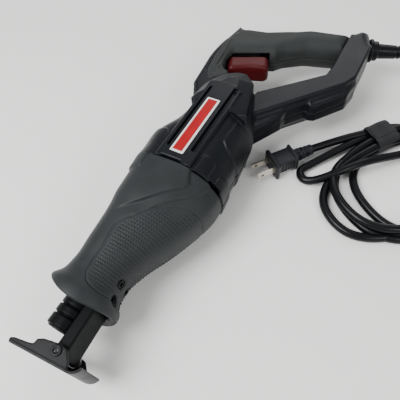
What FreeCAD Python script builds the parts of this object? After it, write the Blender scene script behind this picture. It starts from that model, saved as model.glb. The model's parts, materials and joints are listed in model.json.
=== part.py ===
"""Corded reciprocating saw, lying on its right side.

X runs from the shoe to the back of the handle, Y from the lower bar to the spine,
Z from the right side, which rests on the table, to the left side.  Millimetres.
Every shape is drawn in this layout and main() then moves the whole saw so that the
origin is the middle of the footprint, at table height.
"""
import FreeCAD
import Part
import math
import os

Vec = FreeCAD.Vector

# ---- driving dimensions -------------------------------------------------------------
MID = 37.0                # height of the saw's middle plane above the table
SKIN = 2.8                # wall of the moulded housing
RUBBER = 3.0              # wall of the nose boot
FIT = 0.05                # radial clearance of running fits
GAP = 0.3                 # clearance between parts that move past each other

PLUNGER_Y = 3.0           # height of the plunger axis on the middle plane
MOTOR_Y = -9.0            # height of the armature axis
PLUNGER_R = 6.0
STROKE_FORWARD = 6.0      # from the rest position to the front dead centre
STROKE_BACK = 20.0        # from the rest position to the rear dead centre
CRANK_R = (STROKE_FORWARD + STROKE_BACK) / 2

GEAR_X = 112.0            # crown gear axis, parallel to Y
GEAR_TEETH = 49
PINION_TEETH = 7
TOOTH_PITCH = 2.6         # arc length between teeth on the pitch circle
TOOTH_WIDTH = 0.75
TOOTH_OUT = 0.7           # tooth tip beyond the pitch line
TOOTH_IN = 1.0            # tooth root behind the pitch line
GEAR_R = GEAR_TEETH * TOOTH_PITCH / (2 * math.pi)
PINION_R = PINION_TEETH * TOOTH_PITCH / (2 * math.pi)
TOOTH_FACE = 4.0          # radial length of the crown gear's teeth
GEAR_PITCH_Y = MOTOR_Y - PINION_R

SEAM_X = 153.0            # joint between the nose boot and the motor housing
BARREL_END = 284.0
HALF_WIDTH = 34.8         # half the width of the barrel, across the flats
PLATEAU_TOP = 37.0        # half the width over the raised label panels

GRIP_HALF = 17.0          # half the width of the grip over its soft cover
GRIP_SKIN = 2.5           # thickness of the soft cover
BAR_HALF = 16.0           # half the width of the lower bar

MOUTH_R = 15.2            # opening in the boot around the blade clamp
CLAMP_FRONT = 15.0
CLAMP_REAR = 41.0
CLAMP_R = 12.5

RIVET_X = 4.3
RIVET_Y = -11.3
RIVET_R = 2.4
SHOE_HALF = 19.0          # half the width of the shoe over its flanges
SHOE_SHEET = 1.8
POST_HALF = 13.0
POST_SHEET = 1.8

TRIGGER_PUSH = (0.922, 0.387)     # direction in which the trigger is pulled
CORD_R = 3.75

# Cross-sections of the nose boot: place, top, bottom, half width, corner power above and below
BOOT_STATIONS = [
    (30.0, 32.7, -24.3, 28.3, 2.0, 2.0),
    (44.0, 32.7, -24.3, 28.3, 2.0, 2.0),
    (50.0, 27.8, -20.6, 25.6, 2.1, 2.1),
    (60.0, 24.9, -18.8, 24.6, 2.3, 2.2),
    (80.0, 25.0, -23.9, 26.6, 2.5, 2.2),
    (100.0, 25.6, -33.6, 29.2, 2.7, 2.2),
    (120.0, 26.0, -42.0, 31.6, 2.9, 2.2),
    (140.0, 26.5, -47.8, 33.8, 3.1, 2.2),
    (SEAM_X, 27.2, -48.8, 34.6, 3.2, 2.2),
]
BARREL_SECTION = (31.0, -47.0, HALF_WIDTH, 3.0, 2.3)


# ---- small helpers ------------------------------------------------------------------
def box(x0, x1, y0, y1, z0, z1):
    return Part.makeBox(x1 - x0, y1 - y0, z1 - z0, Vec(x0, y0, z0))


def rod_x(radius, x0, x1, y, z=MID):
    return Part.makeCylinder(radius, x1 - x0, Vec(x0, y, z), Vec(1, 0, 0))


def rod_y(radius, y0, y1, x, z=MID):
    return Part.makeCylinder(radius, y1 - y0, Vec(x, y0, z), Vec(0, 1, 0))


def rod_z(radius, z0, z1, x, y):
    return Part.makeCylinder(radius, z1 - z0, Vec(x, y, z0), Vec(0, 0, 1))


def tube_x(outer, inner, x0, x1, y, z=MID):
    return rod_x(outer, x0, x1, y, z).cut(rod_x(inner, x0 - 1, x1 + 1, y, z))


def polygon_face(points):
    corners = [Vec(x, y, 0) for x, y in points]
    return Part.Face(Part.makePolygon(corners + corners[:1]))


def rounded_face(points):
    """Face of an outline whose corners are (x, y, corner radius)."""
    edges = []
    last = None
    first = None
    count = len(points)
    for i, (x, y, radius) in enumerate(points):
        here = Vec(x, y, 0)
        before = Vec(*points[i - 1][:2], 0) - here
        after = Vec(*points[(i + 1) % count][:2], 0) - here
        before.normalize()
        after.normalize()
        if radius > 0:
            half_turn = before.getAngle(after) / 2
            reach = radius / math.tan(half_turn)
            start = here + before * reach
            end = here + after * reach
            bisector = before + after
            bisector.normalize()
            middle = here + bisector * (radius / math.sin(half_turn) - radius)
        else:
            start = here
            end = here
        if last is not None:
            edges.append(Part.LineSegment(last, start).toShape())
        if radius > 0:
            edges.append(Part.Arc(start, middle, end).toShape())
        if first is None:
            first = start
        last = end
    edges.append(Part.LineSegment(last, first).toShape())
    return Part.Face(Part.Wire(edges))


def raise_face(face, z0, z1):
    lifted = face.copy()
    lifted.translate(Vec(0, 0, z0))
    return lifted.extrude(Vec(0, 0, z1 - z0))


def slab(points, z0, z1):
    return raise_face(polygon_face(points), z0, z1)


def about_mid(face, half):
    return raise_face(face, MID - half, MID + half)


def section_wire(x, top, bottom, half_width, power_up, power_down, inset=0.0):
    """Squared oval across the saw: two half ovals that meet at the widest height."""
    middle = (top + bottom) / 2
    half_height = (top - bottom) / 2 - inset
    width = half_width - inset
    count = 40
    points = []
    for i in range(count):
        turn = 2 * math.pi * (i + 0.5) / count
        up = math.cos(turn)
        side = math.sin(turn)
        power = power_up if up > 0 else power_down
        y = middle + math.copysign(half_height * abs(up) ** (2 / power), up)
        z = MID + math.copysign(width * abs(side) ** (2 / power), side)
        points.append(Vec(x, y, z))
    curve = Part.BSplineCurve()
    curve.interpolate(points, PeriodicFlag=True)
    return Part.Wire([curve.toShape()])


def nose_loft(first, inset):
    """Solid through the boot's cross-sections from one place to the seam."""
    wires = [section_wire(*station, inset=inset) for station in BOOT_STATIONS if station[0] >= first]
    return Part.makeLoft(wires, True, False)


def fuse_all(shapes):
    result = shapes[0]
    for shape in shapes[1:]:
        result = result.fuse(shape)
    return result.removeSplitter()


def cut_all(shape, tools):
    for tool in tools:
        shape = shape.cut(tool)
    return shape


def mirrored(shape):
    return shape.mirror(Vec(0, 0, MID), Vec(0, 0, 1))


def left_half(shape):
    return shape.common(box(-100, 600, -300, 200, MID, 200))


def group(shapes):
    return Part.makeCompound(shapes)


# ---- nose ---------------------------------------------------------------------------
NOSE_START = 66.0         # front face of the gear case
CASE_REAR = SEAM_X - 0.5
CASE_WALL = 2.6
POST_SCREWS = [(x, MID + side) for x in (48.5, 60.5) for side in (-7.2, 7.2)]
POST_WEB_Y = -14.4        # underside of the shoe post inside the nose


def post_room(extra):
    """Channel for the shoe post under the blade clamp."""
    return box(20, 84, -14.6 - extra, PLUNGER_Y, MID - POST_HALF - extra, MID + POST_HALF + extra)


def nose_boot():
    outer = nose_loft(0, 0)
    rim_r = 53.0
    rim = Part.makeCylinder(rim_r, 120, Vec(41.5 - rim_r, -60, MID), Vec(0, 1, 0))
    rim.rotate(Vec(41.5, 4.2, MID), Vec(0, 0, 1), -8)
    boot = outer.cut(rim).cut(box(0, 30.5, -60, 60, -10, 90))
    boot = boot.cut(rod_x(MOUTH_R, 20, NOSE_START + 0.05, PLUNGER_Y))
    boot = boot.cut(post_room(0.4))
    inner_stations = nose_loft(60, RUBBER)
    boot = boot.cut(inner_stations.common(box(NOSE_START, SEAM_X + 5, -80, 80, -10, 90)))
    for x, z in POST_SCREWS:
        boot = boot.cut(rod_y(3.6, -60, POST_WEB_Y, x, z))
    return boot


COVER_TOP = -26.5         # joint between the gear case and the cover under it
COVER_X = (94.5, 138.5)
COVER_HALF = 21.0
COVER_SCREWS = [(99.3, MID, -27.3), (134.0, MID - 18.0, -31.4), (134.0, MID + 18.0, -31.4)]
CHAMBER_X = (86.0, 140.0)


def case_outside():
    return nose_loft(60, RUBBER + 0.05).common(box(NOSE_START, CASE_REAR, -80, 80, -10, 90))


def gear_case():
    shell = case_outside()
    chamber = nose_loft(60, RUBBER + CASE_WALL)
    chamber = chamber.common(box(CHAMBER_X[0], CHAMBER_X[1], COVER_TOP, 80, -10, 90))
    shell = shell.cut(chamber)
    shell = shell.cut(cover_plate(0.05))
    shell = shell.cut(rod_y(GEAR_R + TOOTH_FACE / 2 + 0.5, DISC_BOTTOM - 0.6, MOTOR_Y, GEAR_X))
    for x, z, head_y in COVER_SCREWS:
        reach = 7.5 if x > GEAR_X else -9.0
        post = rod_y(3.4, COVER_TOP, COVER_TOP + 6.3, x, z)
        web = box(min(x, x + reach), max(x, x + reach), COVER_TOP, COVER_TOP + 6.3, z - 3.0, z + 3.0)
        shell = shell.fuse(post).fuse(web)
        shell = shell.cut(rod_y(1.5, COVER_TOP - 1, COVER_TOP + 5.5, x, z))
    shell = shell.cut(rod_x(9.0, 60, 90, PLUNGER_Y))
    shell = shell.cut(rod_x(11.0, BEARING_FRONT[0], BEARING_FRONT[1] + 0.2, MOTOR_Y))
    shell = shell.cut(rod_x(8.2, 135, 160, MOTOR_Y))
    shell = shell.cut(post_room(0.1).common(box(0, 84, -60, PLUNGER_Y - 8.2, 0, 90)))
    return shell.cut(rod_x(27.5, BEARING_FRONT[1] + 0.2, 160, MOTOR_Y)).removeSplitter()


def cover_plate(clearance):
    """Plate that closes the underside of the gear case, flush with the case outside."""
    block = box(COVER_X[0] - clearance, COVER_X[1] + clearance, -70, COVER_TOP,
                MID - COVER_HALF - clearance, MID + COVER_HALF + clearance)
    return block.common(nose_loft(60, RUBBER + 0.05))


def gear_case_cover():
    plate = cover_plate(0)
    hollow = box(103, 129, -60, COVER_TOP - 3.0, MID - 17, MID + 17)
    plate = plate.cut(hollow.common(nose_loft(60, RUBBER + CASE_WALL)))
    boss = rod_y(9.5, -42, COVER_TOP, GEAR_X)
    plate = plate.fuse(boss.common(nose_loft(60, RUBBER + 0.05))).removeSplitter()
    plate = plate.cut(rod_y(AXLE_R, -33.2, 0, GEAR_X))
    for x, z, head_y in COVER_SCREWS:
        plate = plate.cut(rod_y(1.6, -60, 0, x, z))
        plate = plate.cut(rod_y(2.7, -60, head_y, x, z))
    return plate


def cover_screws():
    screws = []
    for x, z, head_y in COVER_SCREWS:
        head = rod_y(2.4, head_y - 1.2, head_y, x, z)
        head = head.cut(rod_y(1.0, head_y - 2, head_y - 0.6, x, z))
        shank = rod_y(1.5, head_y, COVER_TOP + 5.5, x, z)
        screws.append(head.fuse(shank))
    return group(screws)


def plunger_bush():
    return tube_x(9.0, PLUNGER_R + FIT, NOSE_START + 3, 84, PLUNGER_Y)


def plunger_seal():
    return tube_x(9.0, PLUNGER_R + FIT, NOSE_START, NOSE_START + 3, PLUNGER_Y)


# ---- drive --------------------------------------------------------------------------
DISC_TOP = GEAR_PITCH_Y - TOOTH_IN
DISC_BOTTOM = DISC_TOP - 5.5
GEAR_BOTTOM = COVER_TOP + GAP
AXLE_R = 5.0
YOKE_X = GEAR_X - (STROKE_BACK - STROKE_FORWARD) / 2
PIN_SIDE = math.sqrt(CRANK_R ** 2 - (YOKE_X - GEAR_X) ** 2)
YOKE_LOW = PLUNGER_Y - PLUNGER_R
ROLLER_R = 5.0
CRANK_PIN_R = 3.5
SLOT_HALF = CRANK_R + ROLLER_R + GAP
YOKE_HALF = (9.0, SLOT_HALF + 2.3)


def crown_gear():
    disc = rod_y(GEAR_R + TOOTH_FACE / 2, DISC_BOTTOM, DISC_TOP, GEAR_X)
    hub = rod_y(9.0, GEAR_BOTTOM, DISC_TOP + 0.6, GEAR_X)
    teeth = []
    for i in range(GEAR_TEETH):
        tooth = box(GEAR_R - TOOTH_FACE / 2, GEAR_R + TOOTH_FACE / 2 - 0.1, DISC_TOP - 0.5,
                    GEAR_PITCH_Y + TOOTH_OUT, -TOOTH_WIDTH / 2, TOOTH_WIDTH / 2)
        tooth.rotate(Vec(0, 0, 0), Vec(0, 1, 0), (i + 0.5) * 360 / GEAR_TEETH)
        tooth.translate(Vec(GEAR_X, 0, MID))
        teeth.append(tooth)
    gear = disc.fuse(hub).fuse(teeth)
    for turn in (130, 220):
        angle = math.radians(turn)
        gear = gear.cut(rod_y(2.5, -40, 0, GEAR_X + 14.0 * math.sin(angle), MID + 14.0 * math.cos(angle)))
    gear = gear.cut(rod_y(7.0, -50, 0, GEAR_X))
    return gear.cut(crank_pin_shank())


def crank_pin_shank():
    return rod_y(3.0, DISC_BOTTOM, DISC_TOP, YOKE_X, MID + PIN_SIDE)


def crank_pin():
    head = rod_y(CRANK_PIN_R, DISC_TOP, YOKE_LOW - 0.4, YOKE_X, MID + PIN_SIDE)
    return head.fuse(crank_pin_shank()).removeSplitter()


def gear_bush():
    return rod_y(7.0, GEAR_BOTTOM, DISC_TOP + 0.6, GEAR_X).cut(rod_y(AXLE_R + FIT, -60, 0, GEAR_X))


def gear_axle():
    axle = rod_y(AXLE_R, -33.2, DISC_TOP + 2.6, GEAR_X)
    clip = rod_y(6.6, DISC_TOP + 0.6 + GAP, DISC_TOP + 1.9, GEAR_X)
    return axle.fuse(clip).removeSplitter()


def plunger():
    rod = rod_x(PLUNGER_R, 24, YOKE_X - 8, PLUNGER_Y)
    block = box(YOKE_X - YOKE_HALF[0], YOKE_X + YOKE_HALF[0], YOKE_LOW, PLUNGER_Y + PLUNGER_R,
                MID - YOKE_HALF[1], MID + YOKE_HALF[1])
    slot = box(YOKE_X - ROLLER_R - FIT, YOKE_X + ROLLER_R + FIT, -20, 30, MID - SLOT_HALF, MID + SLOT_HALF)
    blade_slot = box(10, 38, PLUNGER_Y - 7, PLUNGER_Y + 7, MID - 0.9, MID + 0.9)
    pin_hole = rod_z(2.0, 0, 90, 28.0, PLUNGER_Y)
    return rod.fuse(block).removeSplitter().cut(slot).cut(blade_slot).cut(pin_hole)


def drive_roller():
    ring = rod_y(ROLLER_R, YOKE_LOW, PLUNGER_Y + 4, YOKE_X, MID + PIN_SIDE)
    return ring.cut(rod_y(CRANK_PIN_R + 0.1, -20, 30, YOKE_X, MID + PIN_SIDE))


def blade_lock_pin():
    return rod_z(2.0 - FIT, MID - 0.8, MID + 6.3, 28.0, PLUNGER_Y)


def clamp_collar():
    """Turning sleeve with raised rings, open in front for the blade."""
    sleeve = rod_x(CLAMP_R - 0.6, CLAMP_FRONT, CLAMP_REAR, PLUNGER_Y)
    rings = [(CLAMP_FRONT + 1.2, 23.4, CLAMP_R), (25.0, 30.4, CLAMP_R), (31.8, 37.0, CLAMP_R - 0.2)]
    for x0, x1, radius in rings:
        sleeve = sleeve.fuse(rod_x(radius, x0, x1, PLUNGER_Y))
    for x0, x1 in ((23.4, 25.0), (30.4, 31.8)):
        sleeve = sleeve.cut(tube_x(20, CLAMP_R - 1.4, x0, x1, PLUNGER_Y))
    sleeve = sleeve.cut(tube_x(20, CLAMP_R - 1.8, 38.2, 50, PLUNGER_Y))
    sleeve = sleeve.cut(rod_x(PLUNGER_R + FIT, 0, 60, PLUNGER_Y))
    sleeve = sleeve.cut(rod_x(8.6, 23.2, 33.2, PLUNGER_Y))
    return sleeve.cut(box(0, 20, PLUNGER_Y - 9.2, PLUNGER_Y + 9.2, MID - 2.4, MID + 2.4))


def collar_spring():
    ring = tube_x(8.4, PLUNGER_R + 0.1, 31.0, 33.0, PLUNGER_Y)
    return ring.cut(box(30, 34, PLUNGER_Y - 20, PLUNGER_Y, MID - 1, MID + 1))


# ---- motor --------------------------------------------------------------------------
BEARING_FRONT = (141.0, 148.0)
BEARING_REAR = (243.0, 250.0)
SHAFT_R = 4.0
PINION_X = (GEAR_X + GEAR_R - 2.5, GEAR_X + GEAR_R + 2.6)


def pinion():
    body = rod_x(PINION_R - TOOTH_IN, PINION_X[0], PINION_X[1], MOTOR_Y)
    blades = []
    for i in range(PINION_TEETH):
        blade = box(PINION_X[0], PINION_X[1], 0, PINION_R + TOOTH_OUT, -TOOTH_WIDTH / 2, TOOTH_WIDTH / 2)
        blade.translate(Vec(0, MOTOR_Y, MID))
        blade.rotate(Vec(0, MOTOR_Y, MID), Vec(1, 0, 0), 180 + i * 360 / PINION_TEETH)
        blades.append(blade)
    return body.fuse(blades)


def armature_shaft():
    stub = rod_x(PINION_R - TOOTH_IN, PINION_X[1], 139.5, MOTOR_Y)
    shaft = rod_x(SHAFT_R, 139.5, 252, MOTOR_Y)
    return fuse_all([pinion(), stub, shaft])


def armature_core():
    core = rod_x(16.0, 176, 212, MOTOR_Y)
    for i in range(12):
        slot = box(170, 220, MOTOR_Y + 13.5, MOTOR_Y + 17, MID - 0.8, MID + 0.8)
        slot.rotate(Vec(0, MOTOR_Y, MID), Vec(1, 0, 0), i * 30)
        core = core.cut(slot)
    return core.cut(rod_x(SHAFT_R, 100, 300, MOTOR_Y))


def armature_windings():
    coils = []
    for x0, x1 in ((168, 176), (212, 221)):
        coils.append(tube_x(13.2, SHAFT_R, x0, x1, MOTOR_Y))
    return group(coils)


def commutator():
    drum = rod_x(11.0, 224, 238, MOTOR_Y)
    for i in range(12):
        groove = box(223, 239, MOTOR_Y + 10.2, MOTOR_Y + 12, MID - 0.3, MID + 0.3)
        groove.rotate(Vec(0, MOTOR_Y, MID), Vec(1, 0, 0), 15 + i * 30)
        drum = drum.cut(groove)
    return drum.cut(rod_x(SHAFT_R, 100, 300, MOTOR_Y))


def motor_fan():
    disc = rod_x(26.0, 154.5, 156.2, MOTOR_Y)
    hub = rod_x(8.0, 154.5, 163.0, MOTOR_Y)
    blades = []
    for i in range(9):
        blade = box(156.2, 162.0, MOTOR_Y + 7, MOTOR_Y + 25.5, MID - 0.8, MID + 0.8)
        blade.rotate(Vec(0, MOTOR_Y, MID), Vec(1, 0, 0), i * 40)
        blades.append(blade)
    return disc.fuse([hub] + blades).removeSplitter().cut(rod_x(SHAFT_R, 100, 300, MOTOR_Y))


def bearing(x_range, inner, split, outer):
    ring_in = tube_x(split - FIT, inner, x_range[0], x_range[1], MOTOR_Y)
    ring_out = tube_x(outer, split, x_range[0], x_range[1], MOTOR_Y)
    return ring_in, ring_out


def motor_stator():
    core = rod_x(27.0, 176, 212, MOTOR_Y)
    flats = box(170, 220, MOTOR_Y - 30, MOTOR_Y + 30, MID - 25.6, MID + 25.6)
    core = core.common(flats)
    return core.cut(rod_x(16.6, 170, 220, MOTOR_Y))


def field_coils():
    coils = []
    for x0, x1 in ((170.0, 176.0), (212.0, 219.0)):
        ring = tube_x(24.5, 17.2, x0, x1, MOTOR_Y)
        split = box(x0 - 1, x1 + 1, MOTOR_Y - 30, MOTOR_Y + 30, MID - 3.5, MID + 3.5)
        coils.append(ring.cut(split))
    return group([solid for ring in coils for solid in ring.Solids])


BRUSH_X = 231.0


def brush_parts():
    """Carbon brush, its brass box and its spring, for both sides of the commutator."""
    brush = box(BRUSH_X - 3, BRUSH_X + 3, MOTOR_Y - 4, MOTOR_Y + 4, MID + 11 + FIT, MID + 21)
    holder = box(BRUSH_X - 4.2, BRUSH_X + 4.2, MOTOR_Y - 5.2, MOTOR_Y + 5.2, MID + 13.5, MID + 29)
    holder = holder.cut(box(BRUSH_X - 3, BRUSH_X + 3, MOTOR_Y - 4, MOTOR_Y + 4, MID + 10, MID + 28))
    coil = Part.makeHelix(1.6, 6.4, 2.2)
    wire = Part.Wire([Part.makeCircle(0.35, Vec(2.2, 0, 0), Vec(0, 1, 0))])
    spring = Part.Wire(coil).makePipeShell([wire], True, True)
    spring.translate(Vec(BRUSH_X, MOTOR_Y, MID + 21.3))
    both = []
    for shape in (brush, holder, spring):
        both.append(group([shape, mirrored(shape)]))
    return both


def fan_baffle():
    plate = tube_x(31.0, 27.2, 153.2, 163.5, MOTOR_Y)
    wall = tube_x(31.0, 20.0, 163.5, 165.3, MOTOR_Y)
    lobe = box(150, 170, MOTOR_Y - 40, MOTOR_Y + 27.2, 0, 90)
    return plate.fuse(wall).removeSplitter().common(lobe)


# ---- housing ------------------------------------------------------------------------
BARREL_PROFILE = [
    (SEAM_X + 0.2, -50), (188, -50), (232, -41.5), (262, -28.5), (279, -12), (BARREL_END, 2),
    (BARREL_END, 16), (262, 31), (256, 31), (240, 23.6), (204, 23.6), (187, 31), (SEAM_X + 0.2, 31),
]
SPINE = [
    (236, 12, 0), (238, 23.4, 2), (258, 34.2, 4), (294, 40.3, 12), (338, 44.0, 12), (371.5, 38.6, 1.5),
    (366.8, 29.5, 3), (372.5, 6, 6), (381.0, -18, 30), (387.5, -50, 30), (391.0, -74, 6), (391, -80, 0),
    (357.5, -80, 0), (357.0, -74, 4), (345.5, -42, 10), (339.5, -27, 6), (330, -19, 4), (316, 14, 6),
    (306, 20, 4), (284, 16, 0), (262, 5, 0),
]
GRIP = [
    (285, 24.5, 5), (300, 38.2, 6), (338, 44.0, 12), (371.5, 38.6, 1.5), (366.8, 29.5, 3), (372.5, 6, 6),
    (381.0, -18, 30), (387.5, -50, 30), (391.0, -74, 6), (391, -77, 0), (357.8, -75, 0), (345.5, -42, 10),
    (339.5, -27, 6), (330, -19, 4), (316, 14, 6), (306, 20, 4),
]
BAR = [
    (228, -34, 0), (240, -24, 0), (267, -28, 2), (313.5, -76.2, 5), (329, -77.2, 0), (359, -76.6, 0),
    (391, -77.4, 0), (398, -82.5, 4), (397.5, -93.5, 4), (374, -100.8, 6), (322, -100.8, 10),
    (308.5, -95.0, 10), (236, -31.5, 0),
]
KEEL = [
    (222, -40, 0), (251.5, -56.8, 4), (262.5, -57.2, 4), (280.5, -70.0, 2), (277.0, -73.0, 2),
    (278.5, -79.5, 3), (304.5, -99.8, 8), (321, -101.6, 8), (330, -98, 0), (305, -88, 0), (236, -28, 0),
]
KEEL_HALF = 10.5
PLATEAU = [
    (156, -21.0, 2), (156, 8.0, 2), (262, 8.0, 4), (275, 0.5, 8), (280, -8, 6), (268, -21.0, 6),
]
SPINE_STRIP = [(240, 20), (258, 34.0), (292, 39.8), (300, 38.0), (286, 24), (262, 10)]
SPINE_STRIP_HALF = 13.0
PANEL = (163.0, 225.6, -11.4, 0.2)      # label plate: x range, y range
VENT_COUNT = 3


def barrel_outer(inset):
    top, bottom, half, power_up, power_down = BARREL_SECTION
    wire = section_wire(SEAM_X - 10, top, bottom, half, power_up, power_down, inset)
    prism = Part.Face(wire).extrude(Vec(200, 0, 0))
    profile = polygon_face(BARREL_PROFILE)
    if inset:
        profile = profile.makeOffset2D(-inset)
    body = prism.common(about_mid(profile, 60))
    if inset:
        front = prism.common(box(SEAM_X - 5, SEAM_X + 20, MOTOR_Y - 31.2, MOTOR_Y + 31.2, -10, 90))
        body = body.fuse(front)
    return body


def handle_core(inset):
    """Hard shell of the grip, the base and the lower bar, around the finger opening."""
    grip = rounded_face(SPINE).makeOffset2D(-GRIP_SKIN - inset)
    bar = rounded_face(BAR)
    keel = rounded_face(KEEL)
    if inset:
        bar = bar.makeOffset2D(-inset)
        keel = keel.makeOffset2D(-inset)
    parts = [
        about_mid(grip, GRIP_HALF - GRIP_SKIN - inset),
        about_mid(bar, BAR_HALF - inset),
        about_mid(keel, KEEL_HALF - inset),
    ]
    if inset:
        parts.append(box(362, 386, -92, -70, MID - 9, MID + 9))
        parts.append(box(362, 393, -92, -78.5, MID - 9, MID + 9))
        parts.append(box(252, 300, 21, 31, MID - 9, MID + 9))
    return parts


def housing_half():
    """Left half of the moulded housing: barrel, bar, base and the core of the grip."""
    outer = fuse_all([barrel_outer(0), about_mid(rounded_face(PLATEAU), PLATEAU_TOP)] + handle_core(0))
    outer = outer.fuse(about_mid(polygon_face(SPINE_STRIP), SPINE_STRIP_HALF))
    hollow = fuse_all([barrel_outer(SKIN)] + handle_core(SKIN))
    shell = outer.cut(hollow)
    ribs = []
    for x0, x1 in ((178, 181), (206, 209)):
        rib = tube_x(60, 27.05, x0, x1, MOTOR_Y)
        ribs.append(rib.common(barrel_outer(SKIN - 0.2)))
    seat = box(BEARING_REAR[0] - 0.5, BEARING_REAR[1] + 2.0, -60, 60, -10, 90)
    seat = seat.common(barrel_outer(SKIN - 0.2))
    seat = seat.cut(rod_x(9.5, 200, BEARING_REAR[1], MOTOR_Y)).cut(rod_x(6.5, 200, 300, MOTOR_Y))
    shell = fuse_all([shell, seat] + ribs)
    x0, x1, y0, y1 = PANEL
    shell = shell.cut(box(x0, x1, y0, y1, MID + PLATEAU_TOP - 0.6, 100))
    shell = shell.cut(box(x0, x1, y0, y1, -30, MID - PLATEAU_TOP + 0.6))
    shell = cut_all(shell, vent_cutters() + [trigger_window(), gland_bore(), side_vent()])
    for x, y in SCREW_PLACES:
        shell = shell.fuse(rod_z(4.2, MID - 13.6, MID + 13.6, x, y)).cut(rod_z(1.5, 0, MID + 10.0, x, y))
    return left_half(shell)


SCREW_PLACES = [(240.0, -38.5), (300.0, -78.0), (335.0, -88.5), (376.0, -62.0), (352.0, 30.0), (276.0, 28.0)]


def housing_screws():
    """Self-tapping screws, driven in from the right side."""
    screws = []
    for x, y in SCREW_PLACES:
        shank = rod_z(1.5, MID - 10.5, MID + 10.0, x, y)
        head = rod_z(3.0, MID - 12.6, MID - 10.5, x, y)
        screws.append(shank.fuse(head).cut(rod_z(1.2, MID - 13, MID - 11.4, x, y)))
    return group(screws)


def screw_pockets():
    pockets = []
    for x, y in SCREW_PLACES:
        pockets.append(rod_z(3.1, -10, MID - 10.5, x, y))
        pockets.append(rod_z(1.5, MID - 11, MID + 1, x, y))
    return pockets


def vent_cutters():
    """Slots across the rise of the spine behind the waist."""
    cutters = []
    for i in range(VENT_COUNT):
        slot = box(-1.1, 1.1, -5.0, 4.0, MID - 11, MID + 11)
        slot.rotate(Vec(0, 0, 0), Vec(0, 0, 1), 28)
        slot.translate(Vec(243.5 + 4.6 * i, 26.0 + 2.5 * i, 0))
        cutters.append(slot)
    return cutters


def side_vent():
    return box(SEAM_X - 2, SEAM_X + 2.6, -17.0, 5.5, -10, 90).cut(box(0, 300, -60, 60, 12, 62))


def trigger_window():
    """Opening in the front of the grip for the trigger."""
    return trigger_block(-3.0, 30.0, 20.4, 11.6)


def trigger_block(front, back, half_length, half_width):
    block = box(front, back, -half_length, half_length, MID - half_width, MID + half_width)
    block.rotate(Vec(0, 0, 0), Vec(0, 0, 1), math.degrees(math.atan2(TRIGGER_PUSH[1], TRIGGER_PUSH[0])))
    block.translate(Vec(*TRIGGER_FACE, 0))
    return block


TRIGGER_FACE = (298.7, 1.4)


def trigger():
    """Curved finger pad with a stem that slides into the switch."""
    arc_r = 62.0
    pad = trigger_block(0.0, 19.5, 18.6, 10.6)
    push = Vec(TRIGGER_PUSH[0], TRIGGER_PUSH[1], 0)
    centre = Vec(*TRIGGER_FACE, 0) - push * (arc_r - 3.2)
    hollow = Part.makeCylinder(arc_r, 80, centre, Vec(0, 0, 1))
    pad = pad.cut(hollow)
    stem = trigger_block(19.5, 26.5, 5.0, 4.0)
    return pad.fuse(stem).removeSplitter()


def switch_body():
    block = trigger_block(28.0, 46.0, 15.0, 9.5)
    return block.cut(trigger_block(20.0, 36.0, 5.2, 4.2))


def grip_cover_half():
    """Soft cover moulded over the left side of the grip."""
    shell = about_mid(rounded_face(GRIP), GRIP_HALF)
    shell = cut_all(shell, handle_core(0))
    shell = shell.cut(barrel_outer(0)).cut(about_mid(rounded_face(PLATEAU), PLATEAU_TOP))
    strip = about_mid(polygon_face(SPINE_STRIP), SPINE_STRIP_HALF)
    shell = shell.cut(strip).cut(trigger_window())
    shell = shell.cut(box(300, 420, -120, -77.2, 0, 90))
    half = left_half(shell)
    return max(half.Solids, key=lambda solid: solid.Volume)


def badge(z0, z1):
    x0, x1, y0, y1 = PANEL
    return box(x0 + 0.1, x1 - 0.1, y0 + 0.1, y1 - 0.1, z0, z1)


# ---- shoe ---------------------------------------------------------------------------
SHOE_OUTLINE = [
    (-6.0, 20.5, 1.2), (-3.2, 21.3, 0.8), (-1.8, 18.5, 1), (-0.2, 9.0, 1.5), (0.8, 5.2, 1.2), (4.4, 4.6, 1.2),
    (6.4, 1.0, 2), (8.8, -11.0, 3), (8.0, -16.5, 3), (2.2, -22.5, 2), (-3.0, -24.0, 1),
]


def shoe():
    """Bent sheet: a slotted front plate between two flanges, with a curled lower lip."""
    flange = about_mid(rounded_face(SHOE_OUTLINE), SHOE_HALF)
    room = box(-20, 40, -60, 60, MID - SHOE_HALF + SHOE_SHEET, MID + SHOE_HALF - SHOE_SHEET)
    flanges = flange.cut(room)
    plate = about_mid(polygon_face([(-6.0, 20.0), (-4.2, 20.0), (-1.2, -24.0), (-3.0, -24.0)]), SHOE_HALF)
    lip_r = 9.0
    lip = Part.makeCylinder(lip_r, 2 * SHOE_HALF, Vec(6.0, -23.6, MID - SHOE_HALF), Vec(0, 0, 1))
    lip = lip.cut(Part.makeCylinder(lip_r - SHOE_SHEET, 80, Vec(6.0, -23.6, 0), Vec(0, 0, 1)))
    lip = lip.common(slab([(-6, -23.6), (6, -23.6), (1.0, -40), (-6, -40)], 0, 80))
    body = fuse_all([flanges, plate, lip])
    slot = box(-20, 20, -6.0, 14.0, MID - 5.0, MID + 5.0)
    lower_slot = box(-20, 0.5, -19.0, -6.0, MID - 3.0, MID + 3.0)
    body = body.cut(slot.common(box(-20, 5, -60, 60, 0, 80))).cut(lower_slot)
    return body.cut(rod_z(RIVET_R + FIT, 0, 80, RIVET_X, RIVET_Y))


def shoe_rivet():
    shank = rod_z(RIVET_R, MID - SHOE_HALF - 0.1, MID + SHOE_HALF + 0.1, RIVET_X, RIVET_Y)
    heads = []
    for z0 in (MID - SHOE_HALF - 1.3, MID + SHOE_HALF + 0.1):
        heads.append(rod_z(3.8, z0, z0 + 1.2, RIVET_X, RIVET_Y))
    return fuse_all([shank] + heads)


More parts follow.
